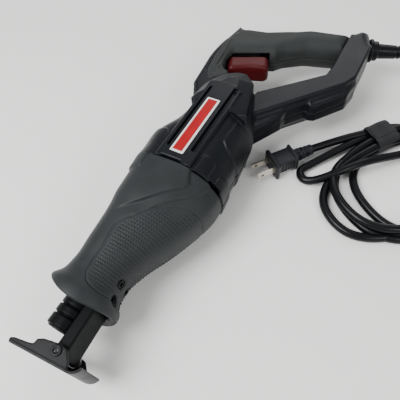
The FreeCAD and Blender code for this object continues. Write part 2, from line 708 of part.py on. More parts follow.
def shoe_post():
    """Bent channel that carries the shoe under the blade clamp."""
    wall = [(1.0, -15.0, 2), (0.6, -8.0, 3), (6.5, -5.6, 3), (83.5, -5.6, 0), (83.5, -14.4, 0),
            (28.0, -14.4, 0), (8.0, -15.0, 0)]
    block = about_mid(rounded_face(wall), POST_HALF)
    room = box(-5, 90, -14.4 + POST_SHEET, 30, MID - POST_HALF + POST_SHEET, MID + POST_HALF - POST_SHEET)
    post = block.cut(room)
    for x, z in POST_SCREWS:
        post = post.cut(rod_y(2.0, -40, 0, x, z))
    return post.cut(rod_z(RIVET_R, 0, 80, RIVET_X, RIVET_Y))


def post_spacer():
    return group([
        rod_z(4.2, MID - SHOE_HALF + SHOE_SHEET + 0.1, MID - POST_HALF, RIVET_X, RIVET_Y).cut(
            rod_z(RIVET_R, 0, 80, RIVET_X, RIVET_Y)),
        rod_z(4.2, MID + POST_HALF, MID + SHOE_HALF - SHOE_SHEET - 0.1, RIVET_X, RIVET_Y).cut(
            rod_z(RIVET_R, 0, 80, RIVET_X, RIVET_Y)),
    ])


def post_screws():
    """Hexagon-socket screws that hold the post, reached from under the nose."""
    screws = []
    for x, z in POST_SCREWS:
        shank = rod_y(2.0, POST_WEB_Y, POST_WEB_Y + 4.0, x, z)
        head = rod_y(3.5, POST_WEB_Y - 3.2, POST_WEB_Y, x, z)
        corners = []
        for k in range(7):
            angle = math.radians(60 * k)
            corners.append(Vec(x + 1.8 * math.cos(angle), POST_WEB_Y - 1.4, z + 1.8 * math.sin(angle)))
        socket = Part.Face(Part.makePolygon(corners)).extrude(Vec(0, -6, 0))
        screws.append(head.fuse(shank).cut(socket))
    return group(screws)


# ---- cord ---------------------------------------------------------------------------
GLAND = (385.75, -97.15)            # middle of the slanted face at the heel of the handle
GLAND_DIRECTION = (0.297, -0.955)
GUARD_LENGTH = 37.5
CORD_EXIT = (
    GLAND[0] + GUARD_LENGTH * GLAND_DIRECTION[0],
    GLAND[1] + GUARD_LENGTH * GLAND_DIRECTION[1],
    MID,
)
# Route points (x, y, height).  The lead drops to the table and enters the tied bundle.
LEAD = [
    CORD_EXIT, (402.5, -153.0, 36.0), (410.0, -182.0, 26.0), (408.5, -211.0, 10.0), (391.0, -232.0, 4.2),
    (364.0, -231.0, 4.2), (346.0, -208.0, 4.2), (335.0, -181.0, 5.0), (322.0, -160.0, 6.5),
]
# The strand that is folded back over the coil.
FOLD = [
    (303.0, -131.5, 9.0), (287.0, -118.5, 8.0), (268.4, -104.7, 6.0), (250.0, -92.6, 4.6),
    (240.0, -86.0, 4.2), (233.8, -86.6, 4.2), (229.4, -91.0, 4.6), (228.8, -97.2, 5.6),
    (234.5, -107.5, 9.0), (245.5, -120.0, 14.5), (261.0, -134.0, 16.5), (280.0, -151.0, 11.0),
    (297.0, -167.0, 6.5),
]
# The last stretch, from the bundle to the plug.
TAIL_START = (301.5, -126.5, 11.0)
TAIL_MIDDLE = (284.5, -107.5, 10.6)
PLUG_REAR = (262.0, -86.8, 10.0)
PLUG_DIRECTION = (-0.789, 0.614)
BUNDLE = (303.6, -139.1)            # middle of the tied bundle
BUNDLE_ANGLE = -36.9                # direction of the bundle at the tie, degrees from +X
COIL_HEIGHT = 14.5
LOOSE_CORD = ["cord_lead", "cord_coil", "cord_fold", "cord_tail", "cord_wrap", "plug_body", "plug_prongs"]


def gland_frame(shape):
    """Moves a shape drawn along +X from the origin to the cord outlet."""
    angle = math.degrees(math.atan2(GLAND_DIRECTION[1], GLAND_DIRECTION[0]))
    shape.rotate(Vec(0, 0, 0), Vec(0, 0, 1), angle)
    shape.translate(Vec(GLAND[0], GLAND[1], MID))
    return shape


def gland_bore():
    return gland_frame(rod_x(7.2, -14.0, 12, 0, 0))


def cord_guard():
    root = rod_x(7.1, -10, 0.0, 0, 0)
    flange = rod_x(11.5, 0.0, 3.5, 0, 0)
    sleeve = Part.makeCone(7.8, 5.4, GUARD_LENGTH - 3.5, Vec(3.5, 0, 0), Vec(1, 0, 0))
    guard = fuse_all([root, flange, sleeve]).cut(rod_x(CORD_R, -20, 60, 0, 0))
    return gland_frame(guard)


def cord_inside():
    """The stretch of cord held by the guard, up to the clamp inside the handle."""
    return gland_frame(rod_x(CORD_R, -20, GUARD_LENGTH, 0, 0))


def cord_clamp():
    """Bar that pins the cord inside the heel of the handle, with its two screws' holes."""
    bar = box(-16.0, -11.0, -8.6, 8.6, CORD_R, CORD_R + 3.0)
    for side in (-6.2, 6.2):
        bar = bar.cut(rod_z(1.5, -20, 20, -13.5, side))
    return gland_frame(bar)


def cord_clamp_screws():
    screws = []
    for side in (-6.2, 6.2):
        shank = rod_z(1.5, -6.0, CORD_R + 3.0, -13.5, side)
        head = rod_z(2.3, CORD_R + 3.0, CORD_R + 4.6, -13.5, side)
        screws.append(head.fuse(shank))
    return gland_frame(group(screws))


def cord_tube(points, name):
    """Tube along straight runs joined by tangent arcs, and a note of its radii."""
    stops = [Vec(*point) for point in points]
    edges = []
    radii = []
    last = stops[0]
    for before, here, after in zip(stops, stops[1:], stops[2:]):
        back = before - here
        ahead = after - here
        shorter = min(back.Length, ahead.Length)
        back.normalize()
        ahead.normalize()
        half_turn = (math.pi - back.getAngle(ahead)) / 2
        reach = 0.45 * shorter
        radius = reach / math.tan(half_turn)
        bisector = back + ahead
        bisector.normalize()
        start = here + back * reach
        end = here + ahead * reach
        middle = here + bisector * (radius / math.cos(half_turn) - radius)
        edges.append(Part.LineSegment(last, start).toShape())
        edges.append(Part.Arc(start, middle, end).toShape())
        radii.append(round(radius, 1))
        last = end
    edges.append(Part.LineSegment(last, stops[-1]).toShape())
    path = Part.Wire(edges)
    profile = Part.Wire([Part.makeCircle(CORD_R, stops[0], stops[1] - stops[0])])
    tube = path.makePipeShell([profile], True, True)
    share = tube.Volume / (math.pi * CORD_R ** 2 * path.Length)
    print(f"{name}: length {path.Length:.0f}, volume share {share:.3f}, bend radii {radii}")
    return tube


def at_bundle(shape):
    """Moves a shape drawn about the tied bundle, with the bundle along X, into place."""
    shape.rotate(Vec(0, 0, 0), Vec(0, 0, 1), BUNDLE_ANGLE)
    shape.translate(Vec(BUNDLE[0], BUNDLE[1], 0))
    return shape


def cord_coil():
    """Outer shape of the loose coil of cord."""
    outside = [(-90, 11, 60), (-90, -104, 48), (64, -104, 48), (64, 11, 48)]
    inside = [(-46, -12, 30), (-46, -80, 30), (38, -80, 30), (38, -12, 30)]
    ring = raise_face(rounded_face(outside), 0.3, COIL_HEIGHT)
    return at_bundle(ring.cut(raise_face(rounded_face(inside), -1, 40)))


def cord_wrap():
    """Hook-and-loop strap around the bundle."""
    band = box(-12, 12, -14.0, 13.0, 0.0, 18.0)
    return at_bundle(band.cut(box(-20, 20, -12.2, 11.2, 1.4, 16.4)))


def plug_frame(shape):
    """Moves a shape drawn along +X from the origin to the rear end of the plug."""
    angle = math.degrees(math.atan2(PLUG_DIRECTION[1], PLUG_DIRECTION[0]))
    shape.rotate(Vec(0, 0, 0), Vec(0, 0, 1), angle)
    shape.translate(Vec(*PLUG_REAR))
    return shape


def plug_body():
    """Moulded two-pin plug with a ribbed strain relief."""
    relief = Part.makeCone(4.9, 6.6, 19.0, Vec(0, 0, 0), Vec(1, 0, 0))
    for i in range(4):
        relief = relief.cut(tube_x(12, 4.6, 2.6 + 4 * i, 4.2 + 4 * i, 0, 0))
    core = box(19, 43.5, -9.0, 9.0, -7.0, 7.0)
    flange = box(38.5, 43.5, -12.0, 12.0, -9.5, 9.5)
    rear = box(19, 22, -9.6, 9.6, -8.5, 8.5)
    return plug_frame(fuse_all([relief, core, flange, rear]))


def plug_prongs():
    prongs = []
    for side in (-6.35, 6.35):
        blade = box(40.0, 60.0, side - 0.75, side + 0.75, -3.2, 3.2)
        prongs.append(blade.cut(rod_y(1.5, -20, 20, 55.5, 0)))
    return plug_frame(group(prongs))


def build():
    """All sub-parts by node name, in the layout described at the top."""
    front_inner, front_outer = bearing(BEARING_FRONT, SHAFT_R, 7.9, 11.0)
    rear_inner, rear_outer = bearing(BEARING_REAR, SHAFT_R, 6.4, 9.5)
    brushes, holders, springs = brush_parts()
    left = housing_half()
    right = cut_all(mirrored(left), screw_pockets())
    cover_left = grip_cover_half()
    parts = {
        "housing_left": left,
        "housing_right": right,
        "grip_cover_left": cover_left,
        "grip_cover_right": mirrored(cover_left),
        "housing_screws": housing_screws(),
        "badge_left": badge(MID + PLATEAU_TOP - 0.6, MID + PLATEAU_TOP),
        "badge_right": badge(0.0, 0.6),
        "nose_boot": nose_boot(),
        "gear_case": gear_case(),
        "gear_case_cover": gear_case_cover(),
        "gear_case_screws": cover_screws(),
        "plunger_bush": plunger_bush(),
        "plunger_seal": plunger_seal(),
        "gear_axle": gear_axle(),
        "gear_bush": gear_bush(),
        "crown_gear": crown_gear(),
        "crank_pin": crank_pin(),
        "plunger": plunger(),
        "drive_roller": drive_roller(),
        "blade_lock_pin": blade_lock_pin(),
        "clamp_collar": clamp_collar(),
        "collar_spring": collar_spring(),
        "armature_shaft": armature_shaft(),
        "armature_core": armature_core(),
        "armature_windings": armature_windings(),
        "commutator": commutator(),
        "motor_fan": motor_fan(),
        "front_bearing_inner": front_inner,
        "front_bearing_outer": front_outer,
        "rear_bearing_inner": rear_inner,
        "rear_bearing_outer": rear_outer,
        "motor_stator": motor_stator(),
        "field_coils": field_coils(),
        "carbon_brushes": brushes,
        "brush_holders": holders,
        "brush_springs": springs,
        "fan_baffle": fan_baffle(),
        "switch_body": switch_body(),
        "trigger": trigger(),
        "shoe": shoe(),
        "shoe_rivet": shoe_rivet(),
        "shoe_post": shoe_post(),
        "post_spacers": post_spacer(),
        "shoe_post_screws": post_screws(),
        "cord_guard": cord_guard(),
        "cord_inside": cord_inside(),
        "cord_clamp": cord_clamp(),
        "cord_clamp_screws": cord_clamp_screws(),
        "cord_lead": cord_tube(LEAD, "cord_lead"),
        "cord_coil": cord_coil(),
        "cord_fold": cord_tube(FOLD, "cord_fold"),
        "cord_tail": cord_tube([TAIL_START, TAIL_MIDDLE, PLUG_REAR], "cord_tail"),
        "cord_wrap": cord_wrap(),
        "plug_body": plug_body(),
        "plug_prongs": plug_prongs(),
    }
    shift = row_shift(parts)
    for shape in parts.values():
        shape.translate(shift)
    return parts


def row_shift(parts):
    """Move that puts the origin under the middle of the saw, without its loose cord."""
    outermost = ["shoe", "shoe_rivet", "housing_right", "grip_cover_right", "cord_guard"]
    bounds = FreeCAD.BoundBox()
    for name in outermost:
        bounds.add(parts[name].optimalBoundingBox())
    return Vec(-bounds.Center.x, -bounds.Center.y, -bounds.ZMin)


def main():
    parts = build()
    os.makedirs("parts", exist_ok=True)
    for name, shape in parts.items():
        print(f"{name:22s} valid {shape.isValid()} solids {len(shape.Solids)} volume {shape.Volume:.0f}")
        shape.exportStep(f"parts/{name}.step")


if __name__ == "__main__":
    main()
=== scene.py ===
"""Corded reciprocating saw lying on its right side, with its lead tied in a coil.

Shapes are drawn in millimetres in the same layout as the CAD source: X runs from the shoe to
the back of the handle, Y from the lower bar to the spine, Z up from the table.  place() moves
them into the frame, in metres.
"""
import json
import math
import bpy
import numpy as np
from mathutils import Matrix, Vector


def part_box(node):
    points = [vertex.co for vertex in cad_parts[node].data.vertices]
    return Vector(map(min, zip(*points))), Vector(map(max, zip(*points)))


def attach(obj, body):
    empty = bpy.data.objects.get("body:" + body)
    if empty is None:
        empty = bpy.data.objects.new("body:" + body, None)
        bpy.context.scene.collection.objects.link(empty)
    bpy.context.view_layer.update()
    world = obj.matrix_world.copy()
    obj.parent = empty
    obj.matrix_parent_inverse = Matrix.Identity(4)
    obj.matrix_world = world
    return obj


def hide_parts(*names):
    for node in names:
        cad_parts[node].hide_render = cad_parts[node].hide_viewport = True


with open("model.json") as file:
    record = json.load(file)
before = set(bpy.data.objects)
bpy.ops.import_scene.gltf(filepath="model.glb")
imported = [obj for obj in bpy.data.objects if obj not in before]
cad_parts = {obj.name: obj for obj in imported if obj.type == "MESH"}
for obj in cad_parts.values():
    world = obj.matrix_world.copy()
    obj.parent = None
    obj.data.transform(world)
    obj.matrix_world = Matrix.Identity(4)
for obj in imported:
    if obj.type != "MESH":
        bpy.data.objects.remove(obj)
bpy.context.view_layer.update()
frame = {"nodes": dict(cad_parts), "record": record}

# ---- driving dimensions, millimetres --------------------------------------------------
MID = 37.0                  # height of the saw's middle plane
HALF_GAP = 0.06             # each housing half stops this far from the middle plane
PLUNGER_Y = 3.0
RIVET_AT = (4.3, -11.3)
CORD_DIAMETER = 7.5

rivet_low, rivet_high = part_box("shoe_rivet")
SHIFT = np.array([
    500 * (rivet_low.x + rivet_high.x) - RIVET_AT[0],
    500 * (rivet_low.y + rivet_high.y) - RIVET_AT[1],
    0.0,
])


def place(point):
    """Frame position, in metres, of a point of the drawing."""
    return Vector((np.array(point, float) + SHIFT) / 1000)


# ---- solids from distance fields ------------------------------------------------------
def rounded(points, steps=6):
    """Outline with rounded corners; each corner is (x, y, radius)."""
    outline = []
    count = len(points)
    for i, (x, y, radius) in enumerate(points):
        here = Vector((x, y))
        before = (Vector(points[i - 1][:2]) - here).normalized()
        after = (Vector(points[(i + 1) % count][:2]) - here).normalized()
        if radius == 0:
            outline.append(here)
            continue
        half_turn = before.angle(after) / 2
        centre = here + (before + after).normalized() * radius / math.sin(half_turn)
        start = here + before * radius / math.tan(half_turn) - centre
        sweep = -start.angle_signed(here + after * radius / math.tan(half_turn) - centre)
        for k in range(steps + 1):
            outline.append(centre + Matrix.Rotation(sweep * k / steps, 2) @ start)
    return np.array(outline)


def turned(x, y, origin, direction):
    """Distances from an origin in the plan: along a unit direction, and to the left of it."""
    dx, dy = x - origin[0], y - origin[1]
    return dx * direction[0] + dy * direction[1], dy * direction[0] - dx * direction[1]


def segment_distance(start, end, x, y):
    """Distance in the plan to the straight line between two points."""
    dx, dy = end[0] - start[0], end[1] - start[1]
    px, py = x - start[0], y - start[1]
    share = np.clip((px * dx + py * dy) / (dx * dx + dy * dy + 1e-12), 0, 1)
    return np.hypot(px - share * dx, py - share * dy)


def outline_distance(outline, x, y):
    """Signed distance in the plan to a closed outline, negative inside."""
    shape = np.broadcast(x, y).shape
    x = np.broadcast_to(x, shape)
    y = np.broadcast_to(y, shape)
    nearest = np.full(shape, np.inf)
    inside = np.zeros(shape, bool)
    for start, end in zip(outline, np.roll(outline, -1, axis=0)):
        nearest = np.minimum(nearest, segment_distance(start, end, x, y))
        (ax, ay), (bx, by) = start, end
        if ay != by:
            crosses = (ay > y) != (by > y)
            inside ^= crosses & (x < ax + (bx - ax) * (y - ay) / (by - ay))
    return np.where(inside, -nearest, nearest)


def plan(points, x, y):
    """Signed distance to an outline with rounded corners."""
    return outline_distance(rounded(points), x, y)


def join(a, b, fillet=0.0):
    """Two solids as one, with a fillet where they meet."""
    if fillet == 0:
        return np.minimum(a, b)
    h = np.clip(0.5 + 0.5 * (b - a) / fillet, 0, 1)
    return b * (1 - h) + a * h - fillet * h * (1 - h)


def cut(a, b, fillet=0.0):
    """The first solid without the second."""
    return -join(-a, b, fillet)


def both(a, b, fillet=0.0):
    """What two solids share."""
    return -join(-a, -b, fillet)


def pillow(flat, z, half, radius, power=2.0):
    """Slab about the middle plane over a plan distance; power 2 rounds its rims, 1 chamfers them."""
    side = abs(z - MID) - half
    a = np.maximum(flat + radius, 0)
    b = np.maximum(side + radius, 0)
    rim = (a ** power + b ** power) ** (1 / power)
    return rim + np.minimum(np.maximum(flat, side) + radius, 0) - radius


def block(x, y, z, low, high, radius=0.0):
    """Box between two corners, with rounded edges."""
    centre = [(a + b) / 2 for a, b in zip(low, high)]
    size = [(b - a) / 2 - radius for a, b in zip(low, high)]
    qx = abs(x - centre[0]) - size[0]
    qy = abs(y - centre[1]) - size[1]
    qz = abs(z - centre[2]) - size[2]
    outside = np.sqrt(np.maximum(qx, 0) ** 2 + np.maximum(qy, 0) ** 2 + np.maximum(qz, 0) ** 2)
    return outside + np.minimum(np.maximum(np.maximum(qx, qy), qz), 0) - radius


def slope_under(rise, run, slope):
    """Distance to a face that falls by slope for each unit of run."""
    return (rise + slope * run) / math.hypot(1, slope)


def smooth_step(value, low, high):
    """0 up to low, 1 from high, and a smooth rise between them."""
    t = np.clip((value - low) / (high - low), 0, 1)
    return t * t * (3 - 2 * t)


def along(x, stations, column):
    """Smooth curve through one column of a list of stations."""
    xs = np.array([s[0] for s in stations], float)
    ys = np.array([s[column] for s in stations], float)
    slopes = np.gradient(ys, xs)
    i = np.clip(np.searchsorted(xs, x) - 1, 0, len(xs) - 2)
    span = xs[i + 1] - xs[i]
    t = np.clip((x - xs[i]) / span, 0, 1)
    a = (2 * t ** 3 - 3 * t ** 2 + 1) * ys[i] + (3 * t ** 2 - 2 * t ** 3) * ys[i + 1]
    b = (t ** 3 - 2 * t ** 2 + t) * slopes[i] + (t ** 3 - t ** 2) * slopes[i + 1]
    return a + b * span


def oval(stations, x, y, z):
    """Distance to squared ovals (x, top, bottom, half width, upper power, lower power)."""
    top = along(x, stations, 1)
    bottom = along(x, stations, 2)
    width = along(x, stations, 3)
    half_height = (top - bottom) / 2
    dy = (y - (top + bottom) / 2) / half_height
    dz = (z - MID) / width
    power = np.where(dy > 0, along(x, stations, 4), along(x, stations, 5))
    r = (abs(dy) ** power + abs(dz) ** power + 1e-9) ** (1 / power)
    slope_y = (abs(dy) / r) ** (power - 1) / half_height
    slope_z = (abs(dz) / r) ** (power - 1) / width
    distance = (r - 1) / np.hypot(slope_y, slope_z)
    return np.maximum(distance, -np.minimum(half_height, width))


def girth_angle(stations, x, y, z):
    """Turn about the oval, degrees: 90 at the spine, 0 at the side, -90 at the belly."""
    top = along(x, stations, 1)
    bottom = along(x, stations, 2)
    dy = (y - (top + bottom) / 2) / ((top - bottom) / 2)
    dz = abs(z - MID) / along(x, stations, 3)
    power = np.where(dy > 0, along(x, stations, 4), along(x, stations, 5))
    return np.degrees(np.arctan2(np.sign(dy) * abs(dy) ** (power / 2), dz ** (power / 2)))


def corner_count(inside):
    """How many of each grid cell's eight corners are inside."""
    total = np.zeros([n - 1 for n in inside.shape], np.int8)
    for offset in np.ndindex(2, 2, 2):
        total += inside[tuple(slice(o, n - 1 + o) for n, o in zip(inside.shape, offset))]
    return total


def axis_steps(axis):
    """Grid steps along an axis and along the two that follow it."""
    steps = np.eye(3, dtype=int)
    return steps[axis], steps[(axis + 1) % 3], steps[(axis + 2) % 3]


def net_points(values, cells):
    """One vertex in each cell: the mean of the places where its edges cross the surface."""
    points = np.zeros((len(cells), 3))
    hits = np.zeros((len(cells), 1))
    for axis in range(3):
        unit, u, v = axis_steps(axis)
        for du, dv in np.ndindex(2, 2):
            start = cells + du * u + dv * v
            a = values[tuple(start.T)]
            b = values[tuple((start + unit).T)]
            crosses = (a < 0) != (b < 0)
            share = a[crosses] / (a[crosses] - b[crosses])
            points[crosses] += start[crosses] + share[:, None] * unit
            hits[crosses] += 1
    return points / hits


def net_faces(inside, number):
    """One quad round each grid edge that crosses the surface, facing outwards."""
    faces = []
    for axis in range(3):
        _, u, v = axis_steps(axis)
        first = np.delete(inside, -1, axis)
        edge = np.argwhere(first != np.delete(inside, 0, axis))
        edge = edge[np.all((edge < number.shape) & (edge - u - v >= 0), axis=1)]
        corners = [edge - u - v, edge - v, edge, edge - u]
        quads = np.stack([number[tuple(corner.T)] for corner in corners], axis=1)
        inward = ~first[tuple(edge.T)]
        quads[inward] = quads[inward][:, ::-1]
        faces.append(quads)
    return np.concatenate(faces)


def net(field, low, high, step):
    """Vertices and quads of the surface where a field is zero, from samples on a grid."""
    axes = [np.arange(start, end + step, step) for start, end in zip(low, high)]
    x, y, z = np.meshgrid(*axes, indexing="ij", sparse=True)
    values = np.array(np.broadcast_to(field(x, y, z), [len(axis) for axis in axes]), np.float32)
    inside = values < 0
    count = corner_count(inside)
    active = (count > 0) & (count < 8)
    number = np.full(active.shape, -1)
    number[active] = np.arange(active.sum())
    points = net_points(values, np.argwhere(active))
    return np.array(low) + step * points, net_faces(inside, number)


def make_piece(name, body, slot, points, faces, node=None, look=None):
    """Mesh piece from drawing coordinates, riding on a body and standing for a CAD node."""
    mesh = bpy.data.meshes.new(name)
    mesh.from_pydata(((points + SHIFT) / 1000).tolist(), [], faces.tolist())
    mesh.validate()
    piece = bpy.data.objects.new(name, mesh)
    bpy.context.scene.collection.objects.link(piece)
    mesh.shade_smooth()
    mesh.materials.append(FINISH[look or slot])
    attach(piece, body)
    if node:
        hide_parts(node)
    return piece


def net_piece(name, body, slot, field, box, step, node, look=None):
    """Piece made straight from a field."""
    points, faces = net(field, *box, step)
    return make_piece(name, body, slot, points, faces, node, look)


def mirrored_pair(name, slot, field, box, step, node=None, look=None):
    """Left piece from a field, and the right piece as its mirror image in the middle plane."""
    points, faces = net(field, *box, step)
    mirrored = points * (1, 1, -1) + (0, 0, 2 * MID)
    pair = []
    for side, vertices, quads in (("left", points, faces), ("right", mirrored, faces[:, ::-1])):
        replaced = f"{node}_{side}" if node else None
        pair.append(make_piece(f"{name}_{side}", "saw_body", slot, vertices, quads, replaced, look))
    return pair


def soften(piece):
    """One light smoothing pass, which takes the steps of the net off."""
    modifier = piece.modifiers.new("soften", "SMOOTH")
    modifier.iterations = 1
    modifier.factor = 0.5


# ---- materials ------------------------------------------------------------------------
def finish(name, colour, rough, metallic=0.0, mottle=0.10, patch=55.0, grain=0.15, grain_size=0.9,
           edge_wear_and_highlight_colour=None, edge_wear_and_highlight_amount=0.5, sheen=0.0, shine=0.35):
    """Procedural finish: patchy colour, fine surface grain and, on request, edges lightened as wear and
    painted highlight.
    """
    material = bpy.data.materials.new(name)
    material.use_nodes = True
    nodes = material.node_tree.nodes
    links = material.node_tree.links
    shader = nodes["Principled BSDF"]
    where = nodes.new("ShaderNodeTexCoord")

    def noise(scale, detail, roughness=0.55):
        texture = nodes.new("ShaderNodeTexNoise")
        texture.inputs["Scale"].default_value = scale
        texture.inputs["Detail"].default_value = detail
        texture.inputs["Roughness"].default_value = roughness
        links.new(where.outputs["Object"], texture.inputs["Vector"])
        return texture.outputs["Fac"]

    def blend(factor, first, second):
        mixer = nodes.new("ShaderNodeMix")
        mixer.data_type = "RGBA"
        links.new(factor, mixer.inputs["Factor"])
        for socket, value in ((mixer.inputs["A"], first), (mixer.inputs["B"], second)):
            if hasattr(value, "default_value"):
                links.new(value, socket)
            else:
                socket.default_value = (*value, 1.0)
        return mixer.outputs["Result"]

    def remap(value, low, high, out_low, out_high):
        ramp = nodes.new("ShaderNodeMapRange")
        limits = {"From Min": low, "From Max": high, "To Min": out_low, "To Max": out_high}
        for key, number in limits.items():
            ramp.inputs[key].default_value = number
        links.new(value, ramp.inputs["Value"])
        return ramp.outputs["Result"]

    patches = noise(patch, 4)
    dark = tuple(c * (1 - mottle) for c in colour)
    light = tuple(min(1, c * (1 + mottle)) for c in colour)
    shade = blend(remap(patches, 0.35, 0.65, 0, 1), dark, light)
    speckle = noise(1000 / grain_size, 3, 0.6)
    shade = blend(remap(speckle, 0.4, 0.75, 0, 0.35), shade, light)
    # Lightened pointy edges: partly wear, partly painted highlight where the edges catch the light.
    if edge_wear_and_highlight_colour:
        geometry = nodes.new("ShaderNodeNewGeometry")
        edges = remap(geometry.outputs["Pointiness"], 0.53, 0.60, 0, edge_wear_and_highlight_amount)
        breakup = nodes.new("ShaderNodeMath")
        breakup.operation = "MULTIPLY"
        links.new(edges, breakup.inputs[0])
        links.new(remap(noise(260, 3), 0.35, 0.6, 0.2, 1), breakup.inputs[1])
        shade = blend(breakup.outputs["Value"], shade, edge_wear_and_highlight_colour)
    links.new(shade, shader.inputs["Base Color"])
    gloss = remap(patches, 0.3, 0.7, max(0.05, rough - 0.05), min(1, rough + 0.05))
    links.new(gloss, shader.inputs["Roughness"])
    bump = nodes.new("ShaderNodeBump")
    bump.inputs["Strength"].default_value = grain
    bump.inputs["Distance"].default_value = 0.0004
    links.new(speckle, bump.inputs["Height"])
    links.new(bump.outputs["Normal"], shader.inputs["Normal"])
    shader.inputs["Metallic"].default_value = metallic
    shader.inputs["Specular IOR Level"].default_value = shine
    shader.inputs["Sheen Weight"].default_value = sheen
    return material


LOOKS = {
    "boot_rubber": dict(colour=(0.0190, 0.0216, 0.0229), rough=0.48, grain=0.30, grain_size=0.6, shine=0.20),
    "housing_plastic": dict(colour=(0.0052, 0.0062, 0.0085), rough=0.34, grain=0.35, grain_size=0.7,
                            shine=0.17),
    "grip_rubber": dict(colour=(0.026, 0.0285, 0.0285), rough=0.55, grain=0.35, grain_size=0.6, shine=0.18),
    "trigger_plastic": dict(colour=(0.056, 0.0030, 0.0042), rough=0.42, grain=0.12, grain_size=0.8,
                            shine=0.2),
    "label_plate": dict(colour=(0.33, 0.006, 0.010), rough=0.45, grain=0.05, grain_size=0.5, shine=0.15),
    "label_border": dict(colour=(0.70, 0.70, 0.68), rough=0.35, grain=0.05, grain_size=0.5),
    "black_steel": dict(colour=(0.0015, 0.0020, 0.0027), rough=0.46, grain=0.18, grain_size=0.8, shine=0.10),
    # Dark steel with lightened edges: a worn ring on the rivet, and painted highlight with wear along the
    # shoe plate's edges.
    "steel_wear_and_highlight": dict(colour=(0.0048, 0.0053, 0.0062), rough=0.40, grain=0.25, grain_size=0.8, shine=0.2,
                       edge_wear_and_highlight_colour=(0.22, 0.225, 0.235), edge_wear_and_highlight_amount=0.7),
    "bare_steel": dict(colour=(0.30, 0.31, 0.32), rough=0.36, metallic=1.0, grain=0.12),
    "gear_steel": dict(colour=(0.36, 0.36, 0.37), rough=0.30, metallic=1.0, grain=0.10),
    "cast_case": dict(colour=(0.30, 0.31, 0.32), rough=0.50, metallic=0.9, grain=0.45, grain_size=1.4),
    "bronze": dict(colour=(0.42, 0.25, 0.11), rough=0.40, metallic=1.0, grain=0.15),
    "copper": dict(colour=(0.60, 0.26, 0.13), rough=0.32, metallic=1.0, grain=0.15),
    "lamination": dict(colour=(0.16, 0.17, 0.19), rough=0.42, metallic=0.9, grain=0.3, grain_size=0.5),
    "carbon": dict(colour=(0.03, 0.03, 0.032), rough=0.65, grain=0.3),
    "inner_plastic": dict(colour=(0.012, 0.012, 0.013), rough=0.50, grain=0.2),
    "seal_rubber": dict(colour=(0.010, 0.010, 0.011), rough=0.70, grain=0.2),
    "cord_rubber": dict(colour=(0.0030, 0.0033, 0.0045), rough=0.30, grain=0.20, grain_size=1.2, shine=0.20),
    "wrap_fabric": dict(colour=(0.010, 0.0105, 0.012), rough=0.85, grain=0.7, grain_size=1.0, sheen=0.10),
    "plug_plastic": dict(colour=(0.009, 0.010, 0.013), rough=0.34, grain=0.2, shine=0.3),
    "prong_metal": dict(colour=(0.62, 0.58, 0.50), rough=0.30, metallic=1.0, grain=0.10),
}
FINISH = {name: finish(name, **look) for name, look in LOOKS.items()}


def dress_cad_nodes():
    """Gives every CAD node the finish of its material slot."""
    for item in frame["record"]["subparts"]:
        node = frame["nodes"][item["node"]]
        if not node.data.materials:
            node.data.materials.append(None)
        for holder in node.material_slots:
            holder.material = FINISH[item["material_slot"]]


dress_cad_nodes()

# ---- camera, stage and light ----------------------------------------------------------
CAMERA_AT = (3.90, -134.40, 303.93)
CAMERA_HEADING = 35.38      # degrees from X towards Y
CAMERA_TILT = 56.0          # degrees down from level
CAMERA_ROLL = 8.0           # degrees, leaning right
FLOOR_REACH = 4.0           # metres
WORLD_STRENGTH = 0.52
# Name, position, target, size in metres and power in watts
LAMPS = [
    ("key", (-0.55, 0.42, 0.95), (-0.05, 0, 0.03), 0.7, 17),
    ("floor_wash", (-0.35, -0.80, 0.70), (-0.15, -0.30, 0), 0.5, 4),
    ("rear", (0.95, 0.20, 0.75), (0.12, 0, 0.04), 0.8, 4),
]


def camera():
    data = bpy.data.cameras.new("camera")
    data.lens = 36.0
    data.sensor_width = 36.0
    data.clip_start = 0.01
    heading, tilt, roll = (math.radians(a) for a in (CAMERA_HEADING, CAMERA_TILT, CAMERA_ROLL))
    level = Vector((math.sin(heading), -math.cos(heading), 0))
    ahead = Vector((math.cos(heading) * math.cos(tilt), math.sin(heading) * math.cos(tilt), -math.sin(tilt)))
    upright = level.cross(ahead)
    right = level * math.cos(roll) - upright * math.sin(roll)
    up = upright * math.cos(roll) + level * math.sin(roll)
    turn = Matrix((right, up, -ahead)).transposed()
    holder = bpy.data.objects.new("camera", data)
    holder.matrix_world = Matrix.Translation(place(CAMERA_AT)) @ turn.to_4x4()
    bpy.context.scene.collection.objects.link(holder)
    bpy.context.scene.camera = holder


def stage():
    corners = [(FLOOR_REACH * a, FLOOR_REACH * b, 0) for a, b in ((-1, -1), (1, -1), (1, 1), (-1, 1))]
    mesh = bpy.data.meshes.new("floor")
    mesh.from_pydata(corners, [], [(0, 1, 2, 3)])
    mesh.materials.append(
        finish("floor", (0.90, 0.90, 0.885), 0.80, mottle=0.01, patch=3, grain=0.02, shine=0.1))
    floor = bpy.data.objects.new("floor", mesh)
    bpy.context.scene.collection.objects.link(floor)


def area_light(name, position, target, size, power):
    data = bpy.data.lights.new(name, "AREA")
    data.shape = "DISK"
    data.size = size
    data.energy = power
    lamp = bpy.data.objects.new(name, data)
    lamp.location = position
    lamp.rotation_euler = (Vector(target) - Vector(position)).to_track_quat("-Z", "Y").to_euler()
    bpy.context.scene.collection.objects.link(lamp)


def lights():
    world = bpy.data.worlds.new("studio")
    bpy.context.scene.world = world
    world.use_nodes = True
    background = world.node_tree.nodes["Background"]
    background.inputs["Color"].default_value = (1, 1, 1, 1)
    background.inputs["Strength"].default_value = WORLD_STRENGTH
    for lamp in LAMPS:
        area_light(*lamp)


camera()
stage()
lights()

